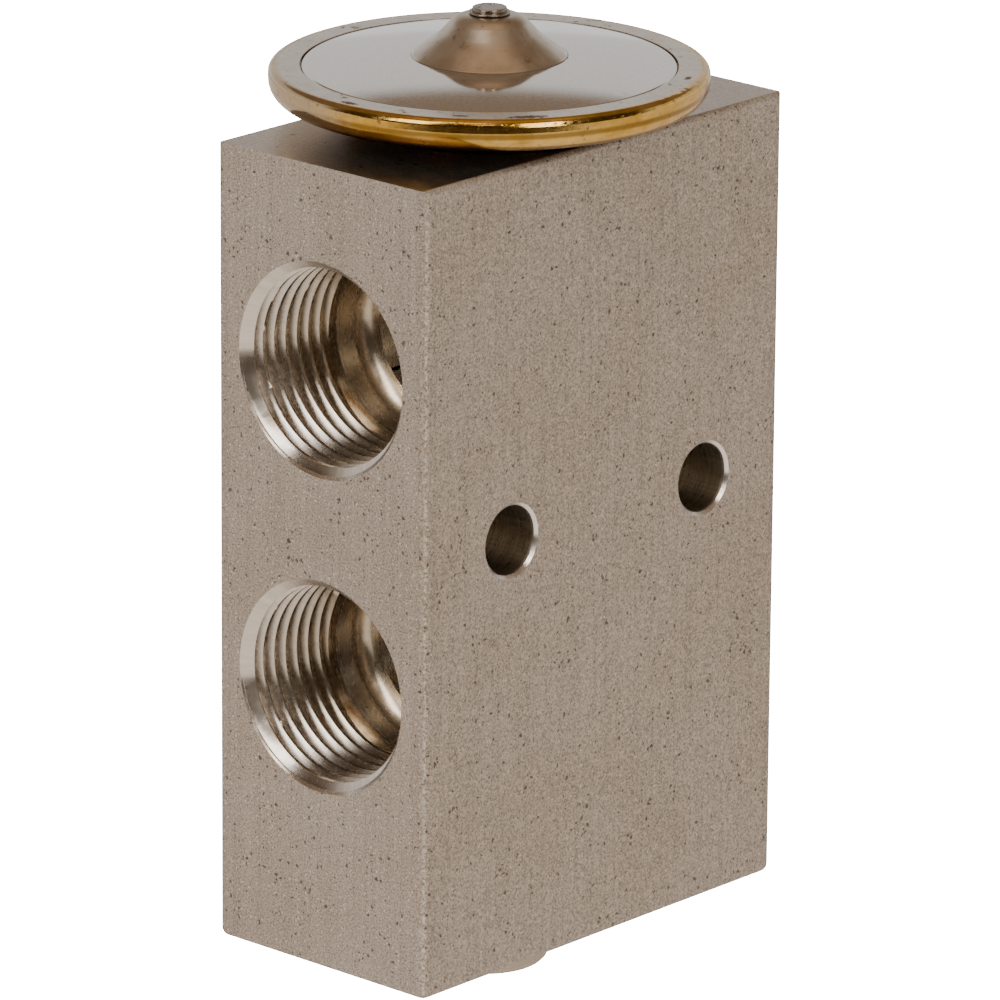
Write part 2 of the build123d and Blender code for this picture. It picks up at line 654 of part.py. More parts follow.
def make_adjuster_seal_ring():
    inner = ADJUSTER_D / 2 - ADJUSTER_GROOVE_DEPTH + SEAL_FIT
    cord = ADJUSTER_GROOVE_DEPTH + SLIDE_FIT - 2 * SEAL_FIT
    return ring_seal(inner, cord, BASE_Z + ADJUSTER_GROOVE_Z + ADJUSTER_GROOVE_WIDTH / 2)


PIECES = {
    "valve_body": make_valve_body,
    "head_housing": make_head_housing,
    "head_neck": make_head_neck,
    "head_seal_ring": make_head_seal_ring,
    "head_cap": make_head_cap,
    "charge_plug": make_charge_plug,
    "diaphragm": make_diaphragm,
    "stop_plate": make_stop_plate,
    "sensing_sleeve": make_sensing_sleeve,
    "push_rod": make_push_rod,
    "rod_seal_ring": make_rod_seal_ring,
    "rod_seal_washer": make_rod_seal_washer,
    "rod_seal_retainer": make_rod_seal_retainer,
    "seat_ring": make_seat_ring,
    "valve_ball": make_valve_ball,
    "ball_carrier": make_ball_carrier,
    "damping_ring": make_damping_ring,
    "superheat_spring": make_superheat_spring,
    "adjuster_plug": make_adjuster_plug,
    "adjuster_seal_ring": make_adjuster_seal_ring,
}

os.makedirs("parts", exist_ok=True)
for name, make in PIECES.items():
    piece = make()
    export_step(piece, f"parts/{name}.step")
    box = piece.bounding_box()
    heights = f"z {box.min.Z:.2f} to {box.max.Z:.2f}"
    print(f"{name}: {len(piece.solids())} solid, {piece.volume:.2f} mm3, {heights}")
print(f"adjuster turns {2 * pi / ADJUSTER_PITCH:.5f} rad for each mm that it advances")
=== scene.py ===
# %% [markdown]
# # A block expansion valve
#
# This valve meters refrigerant in a vehicle's air conditioner. Its shape comes from CAD: an
# aluminium block full of bores, and a round power head on top. In this lesson the CAD model is
# loaded as a fixed frame, the block is built again with real screw threads, and every piece gets
# a metal or rubber finish made of shader nodes.

import json
from math import cos, hypot, pi, radians, sin, tan

import bpy
import bmesh
from mathutils import Matrix, Vector


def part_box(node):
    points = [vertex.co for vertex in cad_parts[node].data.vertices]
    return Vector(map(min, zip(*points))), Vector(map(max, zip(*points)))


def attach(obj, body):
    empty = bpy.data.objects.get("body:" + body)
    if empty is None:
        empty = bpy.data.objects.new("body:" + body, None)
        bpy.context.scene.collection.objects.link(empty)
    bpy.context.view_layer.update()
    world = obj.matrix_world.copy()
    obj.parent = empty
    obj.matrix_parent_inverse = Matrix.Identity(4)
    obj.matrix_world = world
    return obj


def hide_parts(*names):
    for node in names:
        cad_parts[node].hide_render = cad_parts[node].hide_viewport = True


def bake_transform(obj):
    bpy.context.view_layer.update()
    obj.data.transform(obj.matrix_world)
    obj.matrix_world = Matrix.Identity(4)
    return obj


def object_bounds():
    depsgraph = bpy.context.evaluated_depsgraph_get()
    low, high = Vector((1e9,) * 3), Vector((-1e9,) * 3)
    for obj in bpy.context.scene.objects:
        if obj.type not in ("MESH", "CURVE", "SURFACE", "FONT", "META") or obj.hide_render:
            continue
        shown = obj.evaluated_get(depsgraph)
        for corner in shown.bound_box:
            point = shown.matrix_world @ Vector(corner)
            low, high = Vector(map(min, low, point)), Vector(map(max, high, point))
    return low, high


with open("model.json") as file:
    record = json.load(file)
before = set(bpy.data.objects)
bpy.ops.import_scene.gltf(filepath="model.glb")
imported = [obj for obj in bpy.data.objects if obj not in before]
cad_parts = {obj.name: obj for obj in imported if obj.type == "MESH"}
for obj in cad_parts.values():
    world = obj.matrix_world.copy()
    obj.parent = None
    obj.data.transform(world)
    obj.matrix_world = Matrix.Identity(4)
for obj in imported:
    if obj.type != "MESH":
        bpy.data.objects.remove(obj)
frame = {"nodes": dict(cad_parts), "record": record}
nodes = frame["nodes"]
cad_box = [list(corner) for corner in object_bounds()]
print("CAD nodes:", len(nodes), "box:", cad_box)

# %% [markdown]
# ## The frame's own sizes
#
# The CAD frame is in metres with +Z up, so the sizes that a machinist would read off a drawing are
# written in millimetres and multiplied once. Whatever a CAD node already shows, such as the block's
# outer size, is read from the node, so the two models can't drift apart.

# %% Sizes read from the frame
MM = 0.001
block_low, block_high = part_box("valve_body")
rim_low, rim_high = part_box("head_housing")
BLOCK_SIZE = block_high - block_low
BLOCK_MIDDLE = (block_high + block_low) / 2
VALVE_Y = (rim_high.y + rim_low.y) / 2
RIM_R = (rim_high.x - rim_low.x) / 2
print("block size in mm:", [round(side / MM, 2) for side in BLOCK_SIZE])
print("upright axis at y =", round(VALVE_Y / MM, 2), "mm, rim radius", round(RIM_R / MM, 2), "mm")

# %% [markdown]
# ## The camera
#
# A product picture of a small part is usually taken from far away with a long lens, so its upright
# edges stay nearly parallel. The camera is aimed with two angles and a distance, and its matrix is
# put together from three directions: right, up and back towards the lens.

# %% Camera
CAMERA_AZIMUTH = radians(42.114)
CAMERA_ELEVATION = radians(17.426)
CAMERA_ROLL = radians(0.422)
CAMERA_DISTANCE = 809.57 * MM
CAMERA_LENS_MM = 314.12
CAMERA_TARGET = Vector((0, 0, 42.85)) * MM
CAMERA_SLIDE = Vector((-0.0302, 1.3488)) * MM


def camera_axes(azimuth, elevation, roll=0.0):
    """Right, up and back directions of a camera or lamp that circles the upright axis."""
    back = Vector((sin(azimuth) * cos(elevation), -cos(azimuth) * cos(elevation), sin(elevation)))
    level = Vector((cos(azimuth), sin(azimuth), 0))
    upright = back.cross(level)
    right = cos(roll) * level + sin(roll) * upright
    return right, back.cross(right), back


camera = bpy.data.objects.new("camera", bpy.data.cameras.new("camera"))
bpy.context.scene.collection.objects.link(camera)
camera.data.lens = CAMERA_LENS_MM
right, up, back = camera_axes(CAMERA_AZIMUTH, CAMERA_ELEVATION, CAMERA_ROLL)
place = CAMERA_TARGET + back * CAMERA_DISTANCE + right * CAMERA_SLIDE.x + up * CAMERA_SLIDE.y
camera.matrix_world = Matrix.Translation(place) @ Matrix((right, up, back)).transposed().to_4x4()
bpy.context.scene.camera = camera
print("camera at", [round(value / MM, 1) for value in place], "mm")

# %% [markdown]
# ## Helpers for shader trees
#
# Every finish, the floor and the world are small node trees. Adding a node, setting its sockets
# and joining it to the next one always takes the same few lines, so they are written once.

# %% Shader helpers


def shader_tree(owner):
    """An emptied node tree of a material or world, ready for new nodes."""
    owner.use_nodes = True
    owner.node_tree.nodes.clear()
    return owner.node_tree


def new_material(name):
    """A material and its emptied node tree."""
    paint = bpy.data.materials.new(name)
    return paint, shader_tree(paint)


def add(tree, kind, links=None, **settings):
    """A new shader node, its settings and sockets set, its inputs linked by name or number."""
    node = tree.nodes.new("ShaderNode" + kind)
    for name, value in settings.items():
        if hasattr(node, name):
            setattr(node, name, value)
        else:
            node.inputs[name.replace("_", " ")].default_value = value
    for socket, source in (links or {}).items():
        tree.links.new(source, node.inputs[socket])
    return node


def maths(tree, operation, *values, clamp=False):
    """The output of a Math node whose inputs are numbers or other outputs."""
    node = tree.nodes.new("ShaderNodeMath")
    node.operation = operation
    node.use_clamp = clamp
    for count, value in enumerate(values):
        if isinstance(value, (int, float)):
            node.inputs[count].default_value = value
        else:
            tree.links.new(value, node.inputs[count])
    return node.outputs[0]


def times(tree, value, factor):
    """One value times another."""
    return maths(tree, "MULTIPLY", value, factor)


def times_plus(tree, value, factor, plus):
    """One value times another, plus a third."""
    return maths(tree, "MULTIPLY_ADD", value, factor, plus)


def vector_maths(tree, operation, *values):
    """The output of a Vector Math node whose inputs are vectors or other outputs."""
    node = tree.nodes.new("ShaderNodeVectorMath")
    node.operation = operation
    for count, value in enumerate(values):
        if isinstance(value, bpy.types.NodeSocket):
            tree.links.new(value, node.inputs[count])
        else:
            node.inputs[count].default_value = value
    return node.outputs["Value" if operation in ("DOT_PRODUCT", "DISTANCE") else "Vector"]


def about_zero(tree, value):
    """A value from 0 to 1, shifted to lie around zero."""
    return maths(tree, "SUBTRACT", value, 0.5)


def between(tree, value, low, high, start=0.0, end=1.0):
    """A smooth step: start where value is at low, end where it is at high."""
    node = add(tree, "MapRange", {"Value": value}, interpolation_type="SMOOTHSTEP")
    for name, number in (("From Min", low), ("From Max", high), ("To Min", start), ("To Max", end)):
        node.inputs[name].default_value = number
    return node.outputs["Result"]


def mix(tree, factor, first, second, blend="MIX"):
    """The output of a colour Mix node; each input is a colour or another output."""
    node = tree.nodes.new("ShaderNodeMix")
    node.data_type = "RGBA"
    node.blend_type = blend
    for index, value in ((0, factor), (6, first), (7, second)):
        socket = node.inputs[index]
        if isinstance(value, (int, float)):
            socket.default_value = value
        elif isinstance(value, tuple):
            socket.default_value = (*value, 1)
        else:
            tree.links.new(value, socket)
    return node.outputs[2]


def lay_over(tree, colour, mask, amount, over):
    """A colour partly covered by another where a mask is set."""
    return mix(tree, times(tree, mask, amount), colour, over)


def set_ramp(tree, value, stops):
    """A colour ramp read at value, its stops given as (position, colour) pairs."""
    node = add(tree, "ValToRGB", {"Fac": value})
    band = node.color_ramp
    while len(band.elements) > 1:
        band.elements.remove(band.elements[-1])
    for count, (position, colour) in enumerate(stops):
        stop = band.elements[0] if count == 0 else band.elements.new(position)
        stop.position = position
        stop.color = (*colour, 1)
    return node.outputs["Color"]


# %% [markdown]
# ## Floor, backdrop and light
#
# Polished metal shows its surroundings more than its own colour, so the surroundings are part of
# the finish. The part stands on a white sheet that ends a hand's width in front of it and rises
# behind it as a pale backdrop. The room on the camera's side is dark and brown. The camera itself
# sees plain white wherever there is no part, which the Light Path node makes possible.

# %% Floor and world
PAPER_WHITE = 24.0  # what the camera sees beside the part
SHEET_FRONT = 0.24
SHEET_BACK = 1.5
SHEET_SIDE = 0.9
BACKDROP_GLOW = (0.80, 0.77, 0.74)
ROOM_GLOW = (0.050, 0.036, 0.024)
CEILING_GLOW = (0.26, 0.185, 0.125)
ZENITH_GLOW = (0.62, 0.42, 0.26)
SHEET_COLOUR = (0.85, 0.84, 0.82, 1)
SHEET_LIGHT = (1, 0.98, 0.95, 1)
SHEET_STRENGTH = 0.35
TURN_OF_ROOM = 0.15  # half width of the soft change from backdrop to room

bpy.ops.object.select_all(action="DESELECT")
bpy.ops.mesh.primitive_plane_add(size=1, location=(0, 0, cad_box[0][2]))
floor = bpy.context.active_object
floor.name = "floor"
floor.scale = (2 * SHEET_SIDE, SHEET_FRONT + SHEET_BACK, 1)
bpy.ops.object.transform_apply(location=False, rotation=False, scale=True)
floor.rotation_euler.z = CAMERA_AZIMUTH
toward_camera = Vector((sin(CAMERA_AZIMUTH), -cos(CAMERA_AZIMUTH), 0))
floor.location -= toward_camera * (SHEET_BACK - SHEET_FRONT) / 2

paper, tree = new_material("white_sheet")
sheet = add(
    tree, "BsdfPrincipled", Base_Color=SHEET_COLOUR, Roughness=0.8,
    Emission_Color=SHEET_LIGHT, Emission_Strength=SHEET_STRENGTH,
)
glow = add(tree, "Emission", Strength=PAPER_WHITE)
path = add(tree, "LightPath").outputs["Is Camera Ray"]
seen = add(tree, "MixShader", {0: path, 1: sheet.outputs[0], 2: glow.outputs[0]})
add(tree, "OutputMaterial", {"Surface": seen.outputs[0]})
floor.data.materials.append(paper)

world = bpy.data.worlds.new("studio")
bpy.context.scene.world = world
tree = shader_tree(world)
direction = add(tree, "TexCoord").outputs["Generated"]
height = add(tree, "SeparateXYZ", {0: direction}).outputs["Z"]
facing = vector_maths(tree, "DOT_PRODUCT", direction, toward_camera)
height = times_plus(tree, height, 0.5, 0.5)
behind = set_ramp(tree, height, [
    (0.50, (1, 1, 1)), (0.545, (1, 1, 1)), (0.56, BACKDROP_GLOW), (0.70, BACKDROP_GLOW),
    (0.72, CEILING_GLOW), (0.93, CEILING_GLOW), (0.98, ZENITH_GLOW)])
room = set_ramp(tree, height, [
    (0.0, ROOM_GLOW), (0.80, ROOM_GLOW), (0.93, CEILING_GLOW), (0.98, ZENITH_GLOW)])
sky = mix(tree, between(tree, facing, -TURN_OF_ROOM, TURN_OF_ROOM), behind, room)
path = add(tree, "LightPath").outputs["Is Camera Ray"]
glow = add(tree, "Background", {"Color": sky}, Strength=1.0)
plain = add(tree, "Background", Strength=PAPER_WHITE)
seen = add(tree, "MixShader", {0: path, 1: glow.outputs[0], 2: plain.outputs[0]})
add(tree, "OutputWorld", {"Surface": seen.outputs[0]})
print("floor at z =", round(floor.location.z, 4), "m")

# %% [markdown]
# ## Soft lamps
#
# Five soft panels stand in front of the part. Each one shows as its own bright patch in the rolled
# rim and in the ports, so it is placed by the directions that it fills, as seen from the part, and
# its size follows from them.

# %% Lamps
LAMP_DISTANCE = 1.1
WHITE_LIGHT = (1, 0.96, 0.92)
ORANGE_LIGHT = (1, 0.54, 0.22)
CREAM_LIGHT = (1, 0.93, 0.83)


def soft_panel(name, azimuths, elevations, brightness, colour):
    """An area lamp that fills the given spans of azimuth and elevation in degrees."""
    azimuth, elevation = sum(azimuths) / 2, sum(elevations) / 2
    width, tall = (
        2 * LAMP_DISTANCE * tan(radians(high - low) / 2) for low, high in (azimuths, elevations)
    )
    lamp = bpy.data.objects.new(name, bpy.data.lights.new(name, "AREA"))
    bpy.context.scene.collection.objects.link(lamp)
    lamp.data.shape = "RECTANGLE"
    lamp.data.size, lamp.data.size_y = width * cos(radians(elevation)), tall
    lamp.data.energy = brightness * pi * lamp.data.size * lamp.data.size_y
    lamp.data.color = colour
    lamp.visible_camera = False
    axes = camera_axes(radians(azimuth), radians(elevation))
    spot = Vector((0, 0, BLOCK_MIDDLE.z)) + axes[2] * LAMP_DISTANCE
    lamp.matrix_world = Matrix.Translation(spot) @ Matrix(axes).transposed().to_4x4()
    return lamp


soft_panel("left_panel", (-12, 12), (8, 50), 5.6, WHITE_LIGHT)
soft_panel("top_panel", (4, 40), (55, 63), 3.0, WHITE_LIGHT)
soft_panel("warm_panel", (16, 50), (39, 52), 1.0, ORANGE_LIGHT)
soft_panel("low_panel", (34, 47), (29, 35), 2.8, WHITE_LIGHT)
soft_panel("right_panel", (65, 86), (8, 45), 6.6, CREAM_LIGHT)

# %% [markdown]
# ## Helpers for modelling
#
# Bores, counterbores and chamfers are all round, so one helper turns an outline about the upright
# axis, as a lathe does: a plane is merged to one point, the point is extruded along the outline,
# chosen corners are rounded with a vertex bevel, and the outline is spun full circle.

# %% Mesh helpers
ROUND_STEPS = 128
CORNER_STEPS = 6


def select_only(obj):
    """Leaves one object selected and active."""
    bpy.ops.object.select_all(action="DESELECT")
    obj.select_set(True)
    bpy.context.view_layer.objects.active = obj


def apply_modifier(obj, kind, **settings):
    """Adds a modifier with its settings and applies it at once."""
    select_only(obj)
    step = obj.modifiers.new(kind.lower(), kind)
    for name, value in settings.items():
        setattr(step, name, value)
    bpy.ops.object.modifier_apply(modifier=step.name)


def select_where(obj, part, test):
    """In edit mode, selects the verts, edges or faces that pass a test."""
    bpy.ops.mesh.select_all(action="DESELECT")
    shape = bmesh.from_edit_mesh(obj.data)
    for item in getattr(shape, part):
        item.select = bool(test(item))
    shape.select_flush_mode()
    bmesh.update_edit_mesh(obj.data)


def turned(name, outline, rounds=None):
    """A solid turned about +Z from (radius, height) points in mm; rounds gives corner radii."""
    bpy.ops.object.select_all(action="DESELECT")
    bpy.ops.mesh.primitive_plane_add(size=MM)
    piece = bpy.context.active_object
    piece.name = name
    bpy.ops.object.mode_set(mode="EDIT")
    bpy.ops.mesh.select_mode(type="VERT")
    bpy.ops.mesh.select_all(action="SELECT")
    bpy.ops.mesh.merge(type="CENTER")
    points = [Vector((radius, 0, level)) * MM for radius, level in outline]
    bpy.ops.transform.translate(value=points[0])
    for start, end in zip(points, points[1:]):
        bpy.ops.mesh.extrude_vertices_move(TRANSFORM_OT_translate={"value": end - start})
    for corner, radius in (rounds or {}).items():
        before, here, after = points[corner - 1 : corner + 2]
        turn = (here - before).angle(after - here)
        select_where(piece, "verts", lambda vert: (vert.co - here).length < 0.01 * MM)
        reach = radius * MM * tan(turn / 2)
        bpy.ops.mesh.bevel(offset=reach, segments=CORNER_STEPS, affect="VERTICES")
    bpy.ops.mesh.select_all(action="SELECT")
    bpy.ops.mesh.spin(steps=ROUND_STEPS, angle=2 * pi, center=(0, 0, 0), axis=(0, 0, 1))
    bpy.ops.mesh.select_all(action="SELECT")
    bpy.ops.mesh.remove_doubles(threshold=0.0005 * MM)
    bpy.ops.mesh.normals_make_consistent(inside=False)
    bpy.ops.object.mode_set(mode="OBJECT")
    return piece


# %% [markdown]
# ## The block's outside
#
# The real block is cut from an extruded bar: its upright corners carry the bar's radius, its base
# is eased all round, and only the two long top edges are broken. A cube takes the upright and base
# rounds with Bevel. The top rounds run out through the port faces, which a bevel at a corner can't
# do, so a second, longer cube carries them and the two are joined with an Intersect Boolean.

# %% Block outside
SIDE_EDGE_R = 0.9 * MM
BASE_EDGE_R = 0.8 * MM
TOP_EDGE_R = 0.6 * MM
EDGE_STEPS = 6
SAME_PLACE = 0.001 * MM


def cube(name, size, middle):
    """A box mesh at its size and place, with its object at the origin."""
    bpy.ops.object.select_all(action="DESELECT")
    bpy.ops.mesh.primitive_cube_add(size=1, location=middle)
    box = bpy.context.active_object
    box.name = name
    box.scale = size
    bpy.ops.object.transform_apply(location=True, rotation=True, scale=True)
    return box


def bevel_where(obj, radius, test):
    """Rounds the edges that pass a test with one radius."""
    select_only(obj)
    bpy.ops.object.mode_set(mode="EDIT")
    bpy.ops.mesh.select_mode(type="EDGE")
    select_where(obj, "edges", test)
    bpy.ops.mesh.bevel(offset=radius, segments=EDGE_STEPS, affect="EDGES", clamp_overlap=True)
    bpy.ops.object.mode_set(mode="OBJECT")


def is_upright(edge):
    return abs(edge.verts[0].co.z - edge.verts[1].co.z) > BLOCK_SIZE.z / 2


def is_at_base(edge):
    return all(abs(vert.co.z - block_low.z) < SAME_PLACE for vert in edge.verts)


def is_long_top(edge):
    at_top = all(abs(vert.co.z - block_high.z) < SAME_PLACE for vert in edge.verts)
    return at_top and abs(edge.verts[0].co.y - edge.verts[1].co.y) > BLOCK_SIZE.y / 2


block = cube("port_block", BLOCK_SIZE, BLOCK_MIDDLE)
bevel_where(block, SIDE_EDGE_R, is_upright)
bevel_where(block, BASE_EDGE_R, is_at_base)
OVERRUN = 1.0 * MM
envelope = cube(
    "top_rounds",
    BLOCK_SIZE + Vector((0, 2 * OVERRUN, OVERRUN)),
    BLOCK_MIDDLE - Vector((0, 0, OVERRUN / 2)),
)
bevel_where(envelope, TOP_EDGE_R, is_long_top)
apply_modifier(block, "BOOLEAN", operation="INTERSECT", solver="EXACT", object=envelope)
bpy.data.objects.remove(envelope)
print("outside:", len(block.data.polygons), "faces")

# %% [markdown]
# ## The bores
#
# Every passage is drilled or turned into the block from its own side. The four line ports share
# one form: a chamfered mouth, the wall that will carry the thread, a run-out groove, and a smooth
# bore with a rounded floor. Their place and thread size come from the record that travels with
# the CAD model, and each cutter is taken out with a Boolean of its own.

# %% Drill the block
PORT_PITCH = 1.5
MOUTH_OVERSIZE = 0.15
RELIEF_WIDTH = 0.75
PILOT_STEP = 0.1
LARGE_PORT_FROM = 8  # crest radius
PILOT_LENGTH = {"large": 3.75, "small": 2.75}
PAST_FACE = 1  # how far a cutter starts outside the face it enters
PORT_FLOOR_R = 1.6
THREAD_BORE_FACTOR = 0.54127  # of the pitch, from the thread's nominal radius to its bore
mounts = {mount["name"]: mount for mount in frame["record"]["mounts"]}
PORT_NAMES = [name for name, mount in mounts.items() if mount["kind"] == "threaded_hole"]


def cut(cutter):
    """Takes a cutter out of the block and deletes the cutter."""
    apply_modifier(block, "BOOLEAN", operation="DIFFERENCE", solver="EXACT", object=cutter)
    bpy.data.objects.remove(cutter)


def lay_down(cutter, side, y, z):
    """Points a cutter turned about +Z out of the port face on that side of the block."""
    turn = Matrix(((1, 0, 0), (0, 0, side), (0, -side, 0))).to_4x4()
    cutter.data.transform(Matrix.Translation((0, y, z)) @ turn)
    return cutter


def cut_at_port(cutter, name):
    """Takes a cutter turned about +Z out of the block at one port."""
    side = mounts[name]["axis"][1]
    cut(lay_down(cutter, side, side * BLOCK_SIZE.y / 2, mounts[name]["pos_m"][2]))


def port_sizes(name):
    """Crest radius, nominal radius, mouth radius, groove end and full depth of a port, in mm."""
    crest = mounts[name]["dims"]["r_mm"]
    nominal = crest + THREAD_BORE_FACTOR * PORT_PITCH
    mouth = nominal + MOUTH_OVERSIZE
    groove_end = mounts[name]["dims"]["length_mm"] + mouth - crest + RELIEF_WIDTH
    depth = groove_end + PILOT_LENGTH["large" if crest > LARGE_PORT_FROM else "small"]
    return crest, nominal, mouth, groove_end, depth


for name in PORT_NAMES:
    crest, nominal, mouth, groove_end, depth = port_sizes(name)
    pilot = crest - PILOT_STEP
    outline = [
        (0, PAST_FACE), (mouth + PAST_FACE, PAST_FACE), (crest, crest - mouth),
        (crest, RELIEF_WIDTH - groove_end),
        (nominal, RELIEF_WIDTH - groove_end), (nominal, -groove_end), (pilot, -groove_end),
        (pilot, -depth), (0, -depth),
    ]
    cut_at_port(turned(name + "_bore", outline, {7: PORT_FLOOR_R}), name)
    print(name, "bored", round(depth, 2), "mm deep:", len(block.data.polygons), "faces")

# %% [markdown]
# ## Cross passages, upright bore and bolt holes
#
# Behind the ports, plain passages lead to the valve's upright axis. The upright bore is stepped:
# a wide thread for the power head on top, a gland for the rod's seal, a close hole for the rod,
# the seat, the spring chamber and the adjuster's thread. All of this is one outline on a lathe.
# One fault is known: where this outline crosses the open suction passage, part of its wall is
# left standing in the block.

# %% Passages and holes
SUCTION_Z, OUTLET_Z, INLET_Z = (
    mounts[name]["pos_m"][2] / MM for name in ("suction_front", "outlet_front", "inlet_back")
)
PAST_AXIS = 4.5  # how far the outlet runs on behind the valve's axis
PASSAGES = [  # radius, height, from y, to y
    (7.1, SUCTION_Z, -20.0, 20.0),
    (7.1, OUTLET_Z, -20.0, VALVE_Y / MM + PAST_AXIS),
    (3.5, INLET_Z, VALVE_Y / MM, 20.0),
]
for radius, level, start, end in PASSAGES:
    cutter = turned("passage", [(0, 0), (radius, 0), (radius, end - start), (0, end - start)])
    cut(lay_down(cutter, 1, start * MM, level * MM))

UPRIGHT_BORE = [  # radius of each step and the height where it ends, going up
    (6.05, 9.8), (5.55, 15.3), (5.05, 21.2), (4.2, 23.8), (3.0, OUTLET_Z), (1.65, 50.6),
    (3.44, SUCTION_Z), (4.2, 74.08), (9.05, 79.5), (10.96, 82.1),
]
bottom = block_low.z / MM - PAST_FACE
outline, level = [(0, bottom)], bottom
for radius, end in UPRIGHT_BORE:
    outline += [(radius, level), (radius, end)]
    level = end
outline.append((0, level))
cutter = turned("upright_bore", outline)
cutter.data.transform(Matrix.Translation((0, VALVE_Y, 0)))
cut(cutter)

HOLE_CHAMFER = 0.28
bolts = mounts["mounting_holes"]
half_x = BLOCK_SIZE.x / 2 / MM
hole_r = bolts["dims"]["hole_r_mm"]
start, mouth = half_x + PAST_FACE, hole_r + HOLE_CHAMFER + PAST_FACE
for sign in (-1, 1):
    outline = [
        (0, -start), (mouth, -start), (hole_r, HOLE_CHAMFER - half_x),
        (hole_r, half_x - HOLE_CHAMFER), (mouth, start), (0, start),
    ]
    cutter = turned("bolt_hole", outline)
    y = bolts["pos_m"][1] + sign * bolts["dims"]["spacing_x_mm"] / 2 * MM
    turn = Matrix.Rotation(pi / 2, 4, "Y")
    cutter.data.transform(Matrix.Translation((0, y, bolts["pos_m"][2])) @ turn)
    cut(cutter)
print("block drilled:", len(block.data.polygons), "faces")

# %% [markdown]
# ## Screw threads in the ports
#
# Each line port has an internal screw thread with a 1.5 mm pitch. It could be faked with a striped
# bump, but the ports are wide open and the threads catch the light one by one, so they are cut for
# real: a wedge-shaped ridge is wound into a helix with a Screw modifier and taken out of the block.
# The helix has as many steps to a turn as the bore's wall has sides, so the two meet cleanly.

# %% Thread cutters
THREAD_DEPTH = 0.8119  # 60 degree thread with a flat of an eighth of the pitch at its root
FIRST_GROOVE = 0.78
INWARD_OVERLAP = 0.15


def thread_cutter(name, crest_r, groove_end):
    """A helix with a wedge section, wound about +Z from above z = 0 down into the groove."""
    inner_r = (crest_r - INWARD_OVERLAP) * MM
    deep = (THREAD_DEPTH + INWARD_OVERLAP) * MM
    root_flat = PORT_PITCH * MM / 8
    base_width = root_flat + 2 * tan(radians(30)) * deep
    turns = int((groove_end - RELIEF_WIDTH / 3 - FIRST_GROOVE) / PORT_PITCH) + 1
    bpy.ops.object.select_all(action="DESELECT")
    bpy.ops.mesh.primitive_plane_add(size=deep, rotation=(pi / 2, 0, 0))
    ridge = bpy.context.active_object
    ridge.name = name
    bpy.ops.object.transform_apply(rotation=True)
    bpy.ops.object.mode_set(mode="EDIT")
    select_where(ridge, "verts", lambda vert: vert.co.x > 0)
    bpy.ops.transform.resize(value=(1, 1, root_flat / deep))
    select_where(ridge, "verts", lambda vert: vert.co.x < 0)
    bpy.ops.transform.resize(value=(1, 1, base_width / deep))
    bpy.ops.mesh.select_all(action="SELECT")
    bpy.ops.transform.translate(value=(inner_r + deep / 2, 0, (PORT_PITCH - FIRST_GROOVE) * MM))
    bpy.ops.object.mode_set(mode="OBJECT")
    apply_modifier(
        ridge, "SCREW", screw_offset=-PORT_PITCH * MM, iterations=turns,
        steps=ROUND_STEPS, render_steps=ROUND_STEPS,
    )
    bpy.ops.object.mode_set(mode="EDIT")
    bpy.ops.mesh.select_all(action="SELECT")
    bpy.ops.mesh.remove_doubles(threshold=0.001 * MM)
    bpy.ops.mesh.fill_holes(sides=4)
    bpy.ops.mesh.select_all(action="SELECT")
    bpy.ops.mesh.normals_make_consistent(inside=False)
    bpy.ops.object.mode_set(mode="OBJECT")
    return ridge


for name in PORT_NAMES:
    crest, _, _, groove_end, _ = port_sizes(name)
    cut_at_port(thread_cutter(name + "_thread", crest, groove_end), name)
    print(name, "threaded:", len(block.data.polygons), "faces")

# %% [markdown]
# ## Clean shading on the block
#
# Booleans leave large flat faces next to narrow rounds. Edges sharper than a set angle are marked
# sharp, and Weighted Normal makes the large faces win over the narrow ones, so the flats stay flat
# and the rounds still look round. Then the piece takes the CAD block's place.

# %% Block shading and body
SMOOTH_UP_TO = 25
select_only(block)
bpy.ops.object.shade_smooth_by_angle(angle=radians(SMOOTH_UP_TO))
apply_modifier(block, "WEIGHTED_NORMAL", keep_sharp=True)
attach(block, "block")
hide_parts("valve_body")
print("port_block:", sum(len(face.vertices) - 2 for face in block.data.polygons), "triangles")
